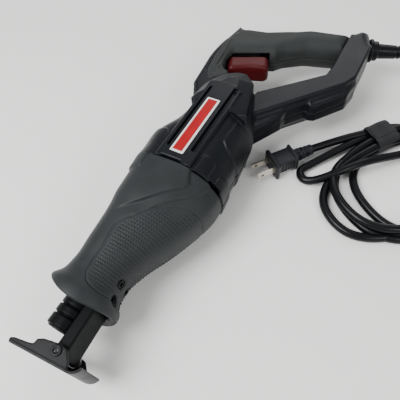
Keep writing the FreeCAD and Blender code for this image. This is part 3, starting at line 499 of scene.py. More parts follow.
# ---- cord -----------------------------------------------------------------------------
GLAND = (385.75, -97.15)
GLAND_DIRECTION = (0.297, -0.955)
GUARD_LENGTH = 37.5
CORD_EXIT = (
    GLAND[0] + GUARD_LENGTH * GLAND_DIRECTION[0],
    GLAND[1] + GUARD_LENGTH * GLAND_DIRECTION[1],
    MID,
)
LEAD = [
    CORD_EXIT, (402.5, -153.0, 36.0), (410.0, -182.0, 26.0), (408.5, -211.0, 10.0), (391.0, -232.0, 4.2),
    (364.0, -231.0, 4.2), (346.0, -208.0, 4.2), (335.0, -181.0, 5.0), (322.0, -160.0, 6.5),
]
FOLD = [
    (303.0, -131.5, 9.0), (287.0, -118.5, 8.0), (268.4, -104.7, 6.0), (250.0, -92.6, 4.6),
    (240.0, -86.0, 4.2), (233.8, -86.6, 4.2), (229.4, -91.0, 4.6), (228.8, -97.2, 5.6),
    (234.5, -107.5, 9.0), (245.5, -120.0, 14.5), (261.0, -134.0, 16.5), (280.0, -151.0, 11.0),
    (297.0, -167.0, 6.5),
]
TAIL = [(301.5, -126.5, 11.0), (284.5, -107.5, 10.6), (262.0, -86.8, 10.0)]
PLUG_REAR = TAIL[-1]
BUNDLE = (303.6, -139.1)
BUNDLE_DIRECTION = (0.8, -0.6)      # along the bundle at the tie
# The bundle's own points: along it, across it, and height
BACK_TURN = [
    (12.0, -27.5, 5.5), (25.0, -33.0, 4.4), (37.0, -29.5, 5.4), (42.0, -17.5, 8.5), (34.0, -5.0, 12.0),
    (18.0, -0.5, 12.6),
]
COIL_MIDDLE = -5.0
OVAL_POWER = 2.5
TURN_POINTS = 14
# One loose turn: reach to the left and right, half height, height on the left and right, lane in the tie
TURNS = [
    (70.0, 53.0, 50.0, 3.9, 3.9, -1.0, 12.4),
    (86.0, 46.0, 44.5, 3.9, 3.9, -8.6, 12.4),
    (72.0, 52.0, 46.0, 10.5, 11.4, -1.0, 4.9),
    (52.0, 45.0, 50.0, 3.9, 11.4, -8.6, 4.9),
]
TAIL_LANE = (8.0, 12.0)


def bundle_point(u, v, z):
    """Drawing position of a point given along and across the bundle."""
    along_x, along_y = BUNDLE_DIRECTION
    return (BUNDLE[0] + u * along_x - v * along_y, BUNDLE[1] + u * along_y + v * along_x, z)


def oval_reach(size, wave):
    """Squared oval's place along one axis, for a sine or cosine of its turn."""
    return math.copysign(size * abs(wave) ** (2 / OVAL_POWER), wave)


def coil_points():
    """Loose turns from the tie round the left, the bottom and the right, back to the tie."""
    points = []
    lanes = [turn[5:7] for turn in TURNS] + [TAIL_LANE]
    for i, (left, right, half, z_left, z_right, lane, lane_z) in enumerate(TURNS):
        next_lane, next_z = lanes[i + 1]
        for k in range(TURN_POINTS):
            share = k / TURN_POINTS
            turn = math.radians(90 + 360 * share)
            across = math.cos(turn)
            up = math.sin(turn)
            late = share * share * (3 - 2 * share)
            top = lane + (next_lane - lane) * late
            u = COIL_MIDDLE + oval_reach(left if across < 0 else right, across)
            v = top - half + oval_reach(half, up)
            tie = max(0.0, up) ** 4
            tie_z = lane_z if share < 0.5 else next_z
            low = z_left + (z_right - z_left) * (0.5 + 0.5 * across)
            points.append(bundle_point(u, v, low + (tie_z - low) * tie))
    return points


def cord():
    route = LEAD + FOLD + [bundle_point(*point) for point in BACK_TURN] + coil_points() + TAIL
    data = bpy.data.curves.new("power_cord", "CURVE")
    data.dimensions = "3D"
    data.bevel_depth = CORD_DIAMETER / 2000
    data.bevel_resolution = 5
    data.resolution_u = 10
    data.use_fill_caps = True
    spline = data.splines.new("NURBS")
    spline.points.add(len(route) - 1)
    for control, point in zip(spline.points, route):
        control.co = (*place(point), 1)
    spline.order_u = 3
    spline.use_endpoint_u = True
    piece = bpy.data.objects.new("power_cord", data)
    bpy.context.scene.collection.objects.link(piece)
    data.materials.append(FINISH["cord_rubber"])
    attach(piece, "saw_body")
    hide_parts("cord_lead", "cord_coil", "cord_fold", "cord_tail")
    return piece


power_cord = cord()

# ---- nose boot ------------------------------------------------------------------------
# Cross-sections: place, top, bottom, half width, corner power above and below
BOOT = [
    (30.0, 32.7, -24.3, 28.3, 2.0, 2.0),
    (44.0, 32.7, -24.3, 28.3, 2.0, 2.0),
    (50.0, 27.8, -20.6, 25.6, 2.1, 2.1),
    (60.0, 24.9, -18.8, 24.6, 2.3, 2.2),
    (80.0, 25.0, -23.9, 26.6, 2.5, 2.2),
    (100.0, 25.6, -33.6, 29.2, 2.7, 2.2),
    (120.0, 26.0, -42.0, 31.6, 2.9, 2.2),
    (140.0, 26.5, -47.8, 33.8, 3.1, 2.2),
    (153.0, 27.2, -48.8, 34.6, 3.2, 2.2),
]
SEAM_X = 153.0
BOOT_WALL = 3.0
RIM_X = 41.5                # front edge of the flared rim at the height of the gear case's axis
RIM_Y = 4.2
RIM_LEAN = 0.1405
RIM_BOW_R = 53.0
MOUTH_R = 15.2
DISH_R = 23.0
DISH_TAPER = 0.9
GEAR_CASE_X = 66.0
SPINE_TAB = ((140.0, 14.0, -20.0), (170.0, 60.0, 94.0))
TAB_HEIGHT = 1.6
POST_WELL = ((20.0, -14.9, 23.5), (84.0, 3.0, 50.5))
POST_SCREWS = [(x, MID + side) for x in (48.5, 60.5) for side in (-7.2, 7.2)]
SCREW_HOLE_R = 3.6
UPPER_CREASE = [
    (100, 14), (107, 7), (114, -1.5), (120, -8), (126, -13.5), (132, -20.5), (137, -26), (142, -27.5),
    (147, -25), (154, -22.5),
]
LOWER_CREASE = [
    (108, -8), (116, -14.5), (123, -20.5), (129, -26.5), (135, -32.5), (141, -36.5), (148, -38.5), (154, -39),
]
# Line, height and width of each crease, and where along the nose it starts and is full
CREASES = [(UPPER_CREASE, 2.2, 2.6, 98, 118), (LOWER_CREASE, 1.6, 2.4, 108, 122)]
# Grip panel outline as place along the nose and turn about it, degrees
PANEL = [
    (54, -3), (63, 0), (74, 1), (84, 5), (92, 8), (101, 1), (108, -5), (115, -13), (120, -24), (125, -36),
    (128, -49), (129, -64), (129, -77), (128, -90), (125, -104), (60, -104), (47, -90), (47.5, -60),
    (46.5, -39), (47, -25), (49, -13),
]
GIRTH_MM = 0.55             # millimetres around the nose per degree
KNURL_PITCH = 2.5
KNURL_HEIGHT = 0.46
GROOVE_DEPTH = 0.70
GROOVE_HALF = 0.55
PANEL_SINK = 0.12
BOOT_BOX = ((30.0, -52.0, 0.5), (154.0, 36.0, 73.5))
BOOT_STEP = 0.48


def rim_front(y, z):
    """Front edge of the flared rim: hollowed across and leaning back towards the spine."""
    bow = RIM_BOW_R - np.sqrt(RIM_BOW_R ** 2 - np.clip(z - MID, -40, 40) ** 2)
    return RIM_X + RIM_LEAN * (y - RIM_Y) - bow


def boot_creases(x, y, z):
    """Height that the two creased steps add to the boot's flanks."""
    raised = 0.0
    for line, height, width, start, full in CREASES:
        step = smooth_step(y - np.interp(x, *zip(*line)), -width, 0.4) - 0.5
        raised = raised + height * step * smooth_step(x, start, full)
    return raised * smooth_step(abs(z - MID), 10.0, 22.0)


def boot_field(x, y, z):
    """Boot: creased skin, dished mouth, well for the post and hollow over the gear case."""
    skin = oval(BOOT, x, y, z)
    shape = skin - boot_creases(x, y, z)
    tab = block(x, y, z, *SPINE_TAB, radius=3.0)
    shape = shape - TAB_HEIGHT * smooth_step(-tab, -1.4, 0.8)
    front = rim_front(y, z)
    shape = both(shape, front - x, fillet=3.2)
    shape = both(shape, x - SEAM_X, fillet=0.8)
    rho = np.hypot(y - PLUNGER_Y, z - MID)
    dish_r = np.maximum(MOUTH_R, DISH_R - DISH_TAPER * (x - front))
    shape = cut(shape, both(rho - dish_r, x - GEAR_CASE_X), fillet=1.6)
    shape = cut(shape, block(x, y, z, *POST_WELL), fillet=0.6)
    shape = cut(shape, both(skin + BOOT_WALL, GEAR_CASE_X - x))
    for screw_x, screw_z in POST_SCREWS:
        reach = np.hypot(x - screw_x, z - screw_z)
        shape = cut(shape, both(reach - SCREW_HOLE_R, y + 10.0), fillet=0.4)
        ring = abs(reach - SCREW_HOLE_R - 1.0) - 0.45
        shape = shape + 0.45 * smooth_step(-ring, -0.5, 0.4) * (y < -10)
    return shape


def boot_relief(points):
    """Outward offset of skin points: knurled panel inside a fine groove."""
    x, y, z = points.T
    turn = girth_angle(BOOT, x, y, z)
    girth = turn * GIRTH_MM
    inside = -outline_distance(np.array(PANEL, float) * (1, GIRTH_MM), x, girth)
    wave = 2 * math.pi / KNURL_PITCH
    knurl = np.maximum(0, np.cos(wave * x)) * np.maximum(0, np.cos(wave * girth)) * 2 - 0.3
    fade = smooth_step(inside, 1.6, 3.4) * (0.25 + 0.75 * smooth_step(turn, -80, -58))
    groove = np.exp(-(inside / GROOVE_HALF) ** 2)
    return KNURL_HEIGHT * knurl * fade - GROOVE_DEPTH * groove - PANEL_SINK * smooth_step(inside, 0.0, 1.0)


def nose_boot():
    points, faces = net(boot_field, *BOOT_BOX, BOOT_STEP)
    x, y, z = points.T
    nudge = 0.05
    skin = oval(BOOT, x, y, z)
    moved = [oval(BOOT, x + nudge, y, z), oval(BOOT, x, y + nudge, z), oval(BOOT, x, y, z + nudge)]
    slope = np.stack([value - skin for value in moved], axis=1)
    slope /= np.linalg.norm(slope, axis=1)[:, None] + 1e-9
    on_skin = smooth_step(skin, -2.2, -1.2) * smooth_step(x, 44, 46)
    points = points + slope * (boot_relief(points) * on_skin)[:, None]
    make_piece("nose_boot_skin", "saw_body", "boot_rubber", points, faces, "nose_boot")


# ---- housing: sizes and outlines ------------------------------------------------------
# Cross-sections of the motor barrel, as for the boot
BARREL = [
    (150.0, 30.4, -48.6, 34.9, 3.2, 2.3),
    (160.0, 30.4, -47.8, 34.9, 3.0, 2.3),
    (184.0, 30.6, -45.8, 34.8, 3.0, 2.3),
    (204.0, 22.8, -43.6, 34.4, 2.7, 2.3),
    (238.0, 22.4, -38.5, 34.0, 2.5, 2.3),
    (258.0, 31.0, -31.0, 33.0, 2.6, 2.3),
    (292.0, 36.0, -14.0, 28.0, 2.6, 2.3),
]
# Outlines in the plan; each corner is (x, y, radius)
BARREL_END = [
    (140, -60, 0), (188, -60, 0), (234, -43, 8), (255, -32.5, 5), (262.5, -26.8, 5), (272.3, -16.5, 4),
    (272.6, -9.0, 4), (264.7, 4, 4), (256.3, 8.8, 4), (247, 14, 5), (243, 24, 3), (238, 40, 0), (140, 40, 0),
]
HEEL = [(230, -38, 0), (258, -28, 6), (274, -14, 6), (283, 3, 4), (284, 18, 4), (262, 24, 4), (230, 20, 0)]
PLATEAU = [
    (154.8, -13.5, 2), (154.8, 2.5, 2), (150, 8.6, 0), (246, 8.6, 3), (249, -4, 4), (247, -16.5, 4),
    (229, -24.3, 6), (150, -23.0, 0), (151.5, -17.5, 1),
]
BOSS = [
    (100, -68, 0), (100, 60, 0), (231, 22, 2), (248, 13.2, 4), (262.5, 4.5, 5), (271.5, -9, 6),
    (271.5, -15, 5), (262, -26, 6),
]
PILL = [(140, -36.6, 0), (171.5, -36.6, 5.4), (171.5, -25.4, 5.4), (140, -25.4, 0)]
LOBE = [
    (192, -31.6, 1), (219, -31.6, 2), (224, -37, 2), (226, -48, 0), (186, -60, 0), (185, -44, 3),
    (188, -36, 3),
]
LOWER_FRONT = [(140, -60, 0), (140, -41.0, 0), (166, -42.5, 6), (172, -60, 0)]
UPPER_FRONT = [(150, 12, 0), (182, 12, 4), (188, 60, 0), (150, 60, 0)]
SWELLINGS = [(PILL, 1.7), (LOBE, 1.6), (LOWER_FRONT, 1.3), (UPPER_FRONT, 0.9)]
# Grip with the arm that leads down to the vents
GRIP = [
    (236, 4, 0), (236, 22.5, 1), (239, 24.6, 2), (258.7, 35.0, 5), (298, 38.9, 20), (322, 40.6, 20),
    (341, 40.6, 8), (353, 34.0, 6), (360.5, 25, 5), (364, 4, 8), (373, -16, 30), (381.5, -38, 30),
    (386.5, -70, 6), (387, -79.5, 0), (359.0, -79.5, 0), (350.0, -44, 12), (339.0, -27, 7), (330, -19, 4),
    (325.5, -6, 3), (315.5, 20.5, 3), (300, 22, 3), (290, 19, 3), (285, 10, 3), (262, 3, 0),
]
BEAK = [(318, 38, 4), (342, 43.4, 5), (371.3, 38.6, 1.2), (361.0, 26, 3), (348, 16, 4)]
FINGER_LIP = [
    (300, 60, 0), (318, 20, 0), (334, -20, 8), (345, -40, 10), (356, -78, 0), (420, -78, 0), (420, 60, 0),
]
ARM_HOLLOW = [(330, 26, 4), (308, 25.5, 4), (282, 21.5, 4), (280, 14, 4), (292, 16.5, 4), (310, 22, 4)]
ARM_GROOVE = [(330, 29.8), (315, 28.6), (292, 26.4), (275, 23.6), (270.5, 20.5)]
# Where the soft cover lies over the handle
COVER_AREA = [
    (316, 60, 0), (319, 38, 0), (314, 34.0, 1), (299.3, 33.8, 2), (277.5, 30.4, 2), (268, 25.2, 2),
    (267.3, 20, 2), (277, 12, 3), (284, -6, 0), (330, -40, 0), (345, -77.2, 0), (420, -77.2, 0), (420, 60, 0),
]
BAR = [
    (226, -36, 0), (240, -22, 0), (268.5, -26.0, 2), (315.5, -74.6, 4), (329, -76.2, 2), (359, -76.2, 0),
    (391.3, -77.4, 1), (398.4, -82.5, 3), (397.8, -93.5, 3), (374, -100.8, 5), (322, -100.8, 8),
    (309.5, -95.0, 8), (236, -31.0, 0),
]
KEEL = [
    (222, -37, 0), (255.5, -56.0, 3), (263.0, -56.6, 3), (280.5, -70.0, 2), (277.0, -73.0, 2),
    (278.5, -79.5, 3), (304.5, -99.8, 6), (321, -101.8, 6), (334, -98, 0), (305, -86, 0), (236, -26, 0),
]
BAR_END = [
    (150, -150, 0), (150, 20, 0), (389.5, 20, 0), (391.3, -77.4, 2), (398.4, -82.5, 3), (397.8, -93.5, 3),
    (380, -101.5, 10), (350, -150, 0),
]
NOSE_SLOT = [
    (140, -17.5, 0), (151.8, -17.0, 1), (155.4, -13.4, 1), (155.4, 2.5, 1.5), (152.5, 4.2, 1), (140, 5.5, 0),
]
# Half widths of the slabs about the middle plane
HEEL_HALF = 11.0
PLATEAU_HALF = 36.6
BAR_HALF = 16.6
KEEL_HALF = 10.5
GRIP_HALF = 17.0
BEAK_HALF = 6.5
# Sloping roofs, as height above the middle plane and fall for each millimetre
BARREL_ROOF = (29.3, 0.62)
BOSS_ROOF = (36.4, 0.55)
BOSS_ROOF_INSET = 13.0
BOSS_FLOOR = 12.0           # above the middle plane
BOSS_FRONT = 218.5
BOSS_SPAN = (-50.0, 13.0)
# Boxes, from corner to corner
SIDE_RIDGE = ((154, -23.2, 60), (243, -20.0, 73.4))
PANEL_GROOVES = [((165, 2.2, 70.4), (238, 4.2, 80)), ((167, -20.0, 70.0), (243.5, -16.2, 80))]
LABEL_BOX = ((161.3, -12.5, 73.1), (224.9, -0.4, 80.0))
SEAM_NOTCH = ((150, -46.5, MID + 6), (155.8, -37.5, 80))
LOUVRE_BOX = ((-1.4, -1.2, 0), (1.4, 9.0, 90))
LOUVRE_AT = (244.0, 26.5)
LOUVRE_PITCH = (5.2, 2.8)
LOUVRE_DIRECTION = (0.883, 0.469)
SPINE_END = 330.0           # the hard spine ends under the cover from here on
COVER_GAP = 0.22
COVER_WALL = 3.3
SKIN = 2.8
WEB_SCREW = (352.0, 30.0)   # housing screw that needs a boss in the web of the hand
WEB_BOSS_R = 3.8
WEB_BOSS_HALF = 13.2
PALM_AT = (345.0, -18.0)
PALM_DIRECTION = (-0.387, -0.922)
GLAND_BORE = (8.0, 8.0)     # radius, and depth behind the gland's face
HOUSING_BOX = ((150, -106, MID - 1), (402, 48, 75.5))
GRIP_BOX = ((258, -80, MID - 1), (394, 48, 56))
SHELL_STEP = 0.75
TRIGGER_FACE = (298.7, 1.4)
TRIGGER_PUSH = (0.922, 0.387)
TRIGGER_SPAN = (-24.4, 17.0)    # along the grip from the middle of the trigger face
TRIGGER_HALF = 9.8
TRIGGER_DEPTH = 19.5
TRIGGER_BOW_R = 60.0
TRIGGER_DIP = 3.8
TRIGGER_BOX = ((282, -30, 25), (334, 32, 49))


# ---- housing: shapes ------------------------------------------------------------------
def barrel(x, y, z):
    """Motor barrel with its tapered rear end."""
    end = plan(BARREL_END, x, y)
    height, slope = BARREL_ROOF
    roof = slope_under(abs(z - MID) - height, end, slope)
    return both(oval(BARREL, x, y, z), both(end, roof, fillet=0.8), fillet=2.0)


def heel(x, y, z):
    """Low step between the barrel and the finger opening."""
    return pillow(plan(HEEL, x, y), z, HEEL_HALF, radius=6.0)


def side_boss(x, y, z):
    """Faceted block behind the label."""
    flat = plan(BOSS, x, y)
    height, slope = BOSS_ROOF
    roof = slope_under(z - MID - height, np.maximum(flat + BOSS_ROOF_INSET, 0.0), slope)
    low, high = BOSS_SPAN
    ends = both(both(BOSS_FRONT - x, low - y), y - high)
    return both(both(both(flat, roof, fillet=0.8), ends), MID + BOSS_FLOOR - z)


def side_panel(shell, x, y, z):
    """Adds the raised panel and its ridge, then sinks the two grooves and the label's recess."""
    shell = join(shell, pillow(plan(PLATEAU, x, y), z, PLATEAU_HALF, radius=1.8, power=1.2), fillet=0.8)
    shell = join(shell, block(x, y, z, *SIDE_RIDGE, radius=1.0), fillet=0.5)
    for groove in PANEL_GROOVES:
        shell = cut(shell, block(x, y, z, *groove, radius=0.5), fillet=0.5)
    return cut(shell, block(x, y, z, *LABEL_BOX, radius=0.3))


def lower_bar(x, y, z):
    """Bar from the barrel to the heel of the handle, with the keel on its underside."""
    end = pillow(plan(BAR_END, x, y), z, BAR_HALF, radius=14.0)
    bar = both(pillow(plan(BAR, x, y), z, BAR_HALF, radius=1.6, power=1.3), end)
    keel = both(pillow(plan(KEEL, x, y), z, KEEL_HALF, radius=2.0, power=1.2), end)
    return join(bar, keel, fillet=5.0)


def trigger_window(x, y, z, front, back, margin):
    """Box round the trigger, from front to back along its travel."""
    push, across = turned(x, y, TRIGGER_FACE, TRIGGER_PUSH)
    low, high = TRIGGER_SPAN
    half = TRIGGER_HALF + margin
    return block(push, across, z, (front, low - margin, MID - half), (back, high + margin, MID + half))


def arm_relief(x, y):
    """Depth of the hollow in the arm's side, less the bead along its upper edge."""
    reach = [segment_distance(a, b, x, y) for a, b in zip(ARM_GROOVE, ARM_GROOVE[1:])]
    bead = np.exp(-(np.minimum.reduce(reach) / 1.6) ** 2)
    return 1.7 * smooth_step(-plan(ARM_HOLLOW, x, y), -1.0, 2.6) - 1.1 * bead


def handle(x, y, z):
    """Grip and arm as one crowned solid, with the beak at the top of the web of the hand."""
    crown = 5.0 + 10.0 * smooth_step(x, 296, 345)
    body = pillow(plan(GRIP, x, y), z, GRIP_HALF, crown)
    body = join(body, pillow(plan(BEAK, x, y), z, BEAK_HALF, radius=4.0), fillet=4.0)
    screw = np.hypot(x - WEB_SCREW[0], y - WEB_SCREW[1])
    boss = both(screw - WEB_BOSS_R, abs(z - MID) - WEB_BOSS_HALF, fillet=1.5)
    body = join(body, boss, fillet=5.0)
    palm = smooth_step(turned(x, y, PALM_AT, PALM_DIRECTION)[0], -3, 9)
    body = body + 0.9 * (1 - palm) * smooth_step(x, 326, 340)
    lip = smooth_step(plan(FINGER_LIP, x, y) + 1.6, -1.2, 0.4) * smooth_step(-y, 16, 26)
    body = body + 0.9 * lip * smooth_step(abs(z - MID), 1.5, 3.0)
    return body + arm_relief(x, y) * smooth_step(z - MID, 4, 10)


def louvre_cuts(shell, x, y, z):
    for i in range(3):
        start = (LOUVRE_AT[0] + LOUVRE_PITCH[0] * i, LOUVRE_AT[1] + LOUVRE_PITCH[1] * i)
        run, rise = turned(x, y, start, LOUVRE_DIRECTION)
        shell = cut(shell, block(run, rise, z, *LOUVRE_BOX, radius=0.4), fillet=0.3)
    return shell


def gland_bore(x, y, z):
    out, across = turned(x, y, GLAND, GLAND_DIRECTION)
    radius, depth = GLAND_BORE
    return both(np.hypot(across, z - MID) - radius, -depth - out)


def housing_field(x, y, z):
    """Left half of the hard shell, hollow, from the seam with the boot to the heel of the handle."""
    shell = join(barrel(x, y, z), heel(x, y, z), fillet=3.0)
    shell = join(shell, side_boss(x, y, z), fillet=1.2)
    shell = side_panel(shell, x, y, z)
    for area, height in SWELLINGS:
        shell = shell - height * smooth_step(-plan(area, x, y), -0.8, 0.6)
    grip = handle(x, y, z)
    spine = both(both(grip, -plan(COVER_AREA, x, y) - COVER_GAP), x - SPINE_END)
    shell = join(shell, spine, fillet=1.0)
    shell = join(shell, lower_bar(x, y, z), fillet=2.0)
    shell = cut(shell, shell + SKIN)
    shell = louvre_cuts(shell, x, y, z)
    shell = cut(shell, trigger_window(x, y, z, -3.0, 30.0, 1.2))
    shell = cut(shell, both(plan(NOSE_SLOT, x, y), 60.0 - z), fillet=0.3)
    shell = cut(shell, block(x, y, z, *SEAM_NOTCH, radius=0.8), fillet=0.4)
    shell = cut(shell, gland_bore(x, y, z))
    shell = both(shell, SEAM_X + 0.2 - x, fillet=0.8)
    return both(shell, MID + HALF_GAP - z)


def housings():
    for shell in mirrored_pair("housing_shell", "housing_plastic", housing_field, HOUSING_BOX, SHELL_STEP,
                               "housing"):
        soften(shell)


def grip_field(x, y, z):
    """Left half of the soft cover, with its window for the trigger."""
    grip = handle(x, y, z)
    cover = both(grip, plan(COVER_AREA, x, y), fillet=0.6)
    cover = cut(cover, grip + COVER_WALL)
    cover = cut(cover, barrel(x, y, z) - 0.3)
    cover = cut(cover, heel(x, y, z) - 0.3)
    cover = cut(cover, trigger_window(x, y, z, -8.0, 32.0, 0.7), fillet=0.5)
    return both(cover, MID + HALF_GAP - z)


def grips():
    for skin in mirrored_pair("grip_skin", "grip_rubber", grip_field, GRIP_BOX, SHELL_STEP, "grip_cover"):
        soften(skin)


def trigger_field(x, y, z):
    """Bowed finger pad with a dip in its middle, and the stem behind it."""
    push, across = turned(x, y, TRIGGER_FACE, TRIGGER_PUSH)
    low, high = TRIGGER_SPAN
    middle = (low + high) / 2
    corners = ((1.6, low, MID - TRIGGER_HALF), (38.0, high, MID + TRIGGER_HALF))
    pad = block(push, across, z, *corners, radius=6.0)
    bow = TRIGGER_BOW_R - np.hypot(push + TRIGGER_BOW_R - TRIGGER_DIP, across - middle)
    pad = both(pad, bow, fillet=4.0)
    pad = pad + 0.7 * np.exp(-((across - middle) / 7.0) ** 2) * smooth_step(push, 10, 2)
    pad = both(pad, push - TRIGGER_DEPTH)
    stem = block(push, across, z, (17.0, -5.0, MID - 4.0), (26.5, 5.0, MID + 4.0), radius=0.4)
    return join(pad, stem)


def trigger():
    net_piece("finger_trigger", "trigger", "trigger_plastic", trigger_field, TRIGGER_BOX, 0.5, "trigger")


# ---- label ----------------------------------------------------------------------------
LABEL_GAP = 0.1             # all round the plate in its recess
LABEL_TOP = 73.75
LABEL_BORDER = 1.7
LABEL_NET = ((160.4, -13.4, 72.62), (225.8, 0.5, 74.35))


def label_outline(inset, radius):
    (x0, y0, _), (x1, y1, _) = LABEL_BOX
    gap = LABEL_GAP + inset
    corners = [(x0 + gap, y0 + gap), (x1 - gap, y0 + gap), (x1 - gap, y1 - gap), (x0 + gap, y1 - gap)]
    return [(*corner, radius) for corner in corners]


def border_field(x, y, z):
    """White plate in the side panel's recess."""
    edge = plan(label_outline(0.0, 1.0), x, y)
    return both(both(edge, z - LABEL_TOP, fillet=0.15), LABEL_BOX[0][2] + 0.02 - z)


def plate_field(x, y, z):
    """Plain red plate, a little proud of its border."""
    edge = plan(label_outline(LABEL_BORDER, 0.6), x, y)
    return both(both(edge, z - LABEL_TOP - 0.14, fillet=0.1), LABEL_TOP - 0.2 - z)


def labels():
    """Plain red plate with a white border on each side; no lettering."""
    mirrored_pair("label_border", "label_plate", border_field, LABEL_NET, 0.3, "badge", look="label_border")
    mirrored_pair("label_plate", "label_plate", plate_field, LABEL_NET, 0.3)


# ---- shoe and blade clamp -------------------------------------------------------------
SHOE = [
    (-5.9, 20.5, 1.2), (-3.2, 21.3, 0.8), (-1.8, 18.5, 1), (-0.2, 9.0, 1.5), (0.8, 5.2, 1.2), (4.4, 4.6, 1.2),
    (6.4, 1.0, 2), (8.8, -11.0, 3), (8.0, -16.5, 3), (2.2, -22.5, 2), (-3.0, -24.0, 1),
]
SHOE_FRONT = [(-5.9, 20.0, 0.5), (-4.1, 20.0, 0.5), (-1.2, -24.0, 0), (-3.0, -24.0, 0)]
SHOE_HALF = 19.0
SHEET = 1.8
LIP_AT = (6.0, -23.6)
LIP_R = 9.0
LIP_SECTOR = [(-8, -23.6, 0), (6, -23.6, 0), (1.0, -40, 0), (-8, -40, 0)]
BLADE_SLOT = ((-20, -6, MID - 5), (5, 14, MID + 5))
NARROW_SLOT = ((-20, -19, MID - 3), (0.5, -5, MID + 3))
POST = [
    (1.0, -15.0, 2), (0.6, -8.0, 3), (6.5, -5.6, 3), (83.5, -5.6, 0), (83.5, -14.4, 0), (28.0, -14.4, 0),
    (8.0, -15.0, 0),
]
POST_HALF = 13.0
POST_BASE = -14.4
SLEEVE_MIDDLE = 28.0
SLEEVE_HALF = 13.0
SLEEVE_R = 10.9
SLEEVE_BORE_R = 6.1
SPRING_ROOM = (28.2, 5.0, 8.6)      # middle, half length and radius
SLEEVE_KEYWAY = ((0, PLUNGER_Y - 9.2, MID - 2.4), (20, PLUNGER_Y + 9.2, MID + 2.4))
# Finger rings on the sleeve: front, rear and radius
SLEEVE_RINGS = [(16.2, 24.2, 12.5), (25.2, 31.2, 12.5), (32.2, 37.8, 12.3), (38.8, 40.6, 11.6)]
RIVET_R = 2.4
RIVET_HEAD_R = 3.6
SHOE_BOX = ((-8, -34, 17), (11, 23, 57))
POST_BOX = ((-1, -17, 22), (85, -4, 52))
SLEEVE_BOX = ((14, -11, 23), (42, 17, 51))
RIVET_BOX = ((-1, -16, 16), (9, -6, 58))


def shoe_field(x, y, z):
    """Folded plate with two flanges, a slotted front and a curled lip."""
    side = abs(z - MID) - SHOE_HALF
    flanges = pillow(plan(SHOE, x, y), z, SHOE_HALF, radius=0.6)
    flanges = cut(flanges, side + SHEET, fillet=0.3)
    front = pillow(plan(SHOE_FRONT, x, y), z, SHOE_HALF, radius=0.6)
    curl = abs(np.hypot(x - LIP_AT[0], y - LIP_AT[1]) - LIP_R + SHEET / 2) - SHEET / 2
    lip = both(both(curl, plan(LIP_SECTOR, x, y), fillet=0.5), side, fillet=1.0)
    body = join(join(flanges, front, fillet=0.5), lip, fillet=0.5)
    for slot in (BLADE_SLOT, NARROW_SLOT):
        body = cut(body, block(x, y, z, *slot, radius=0.5), fillet=0.3)
    return cut(body, np.hypot(x - RIVET_AT[0], y - RIVET_AT[1]) - RIVET_R - 0.1)


def post_field(x, y, z):
    """Bent channel that carries the shoe, open on the plunger's side."""
    channel = pillow(plan(POST, x, y), z, POST_HALF, radius=1.6)
    inside = both(POST_BASE + SHEET - y, abs(z - MID) - POST_HALF + SHEET, fillet=0.8)
    channel = cut(channel, inside, fillet=0.3)
    for screw_x, screw_z in POST_SCREWS:
        channel = cut(channel, np.hypot(x - screw_x, z - screw_z) - 2.0)
    return cut(channel, np.hypot(x - RIVET_AT[0], y - RIVET_AT[1]) - RIVET_R)


def collar_field(x, y, z):
    """Ringed sleeve of the blade clamp, with room for its spring and a keyway for the blade."""
    rho = np.hypot(y - PLUNGER_Y, z - MID)
    sleeve = both(rho - SLEEVE_R, abs(x - SLEEVE_MIDDLE) - SLEEVE_HALF, fillet=0.6)
    for front, rear, radius in SLEEVE_RINGS:
        ring = both(rho - radius, abs(x - (front + rear) / 2) - (rear - front) / 2, fillet=1.0)
        sleeve = join(sleeve, ring, fillet=0.3)
    sleeve = cut(sleeve, rho - SLEEVE_BORE_R, fillet=0.3)
    middle, half, radius = SPRING_ROOM
    sleeve = cut(sleeve, both(rho - radius, abs(x - middle) - half))
    return cut(sleeve, block(x, y, z, *SLEEVE_KEYWAY, radius=0.4), fillet=0.4)


def rivet_field(x, y, z):
    """Shoe's pivot pin with a rolled, dished head at each end."""
    rho = np.hypot(x - RIVET_AT[0], y - RIVET_AT[1])
    rise = abs(z - MID) - SHOE_HALF
    shank = both(rho - RIVET_R, rise - 0.2)
    head = both(rho - RIVET_HEAD_R, abs(rise - 0.5) - 0.6, fillet=0.7)
    head = cut(head, both(rho - 1.9, 0.5 - rise, fillet=0.4), fillet=0.3)
    return join(shank, head)


def nose_fittings():
    # The shoe plate's lightened edges are painted highlight as well as wear.
    net_piece("shoe_plate", "shoe", "black_steel", shoe_field, SHOE_BOX, 0.38, "shoe", "steel_wear_and_highlight")
    net_piece("post_channel", "saw_body", "black_steel", post_field, POST_BOX, 0.42, "shoe_post")
    net_piece("clamp_sleeve", "collar", "black_steel", collar_field, SLEEVE_BOX, 0.40, "clamp_collar")
    net_piece("shoe_pin", "saw_body", "bare_steel", rivet_field, RIVET_BOX, 0.25, "shoe_rivet", "steel_wear_and_highlight")


# ---- cord fittings --------------------------------------------------------------------
GUARD_R = 7.7
GUARD_TAPER = 0.05
GUARD_TAIL = 10.0           # length of the guard inside the handle
# Rings at the handle's end of the guard: middle, half length, radius, rounding and fillet
GUARD_RINGS = [(1.9, 1.7, 11.3, 1.2, 0.8), (6.2, 2.6, 9.4, 1.6, 1.0)]
PLUG_DIRECTION = (-0.789, 0.614)
PLUG_AXIS_Z = 10.0
PLUG_BODY = ((20.5, -8.6, -6.6), (42.0, 8.6, 6.6))
PLUG_FACE = ((39.4, -11.8, -9.3), (43.2, 11.8, 9.3))
PLUG_SHOULDER = ((19.3, -9.5, -8.3), (22.4, 9.5, 8.3))
STRAP_HALF = (12.4, 8.0)    # half width and half height round the bundle
STRAP_CORNER_R = 5.0
STRAP_Z = 9.0
GUARD_BOX = ((370, -137, 24), (412, -84, 50))
PLUG_BOX = ((218, -102, -1), (272, -44, 21))
STRAP_BOX = ((282, -160, -1), (325, -116, 19.5))


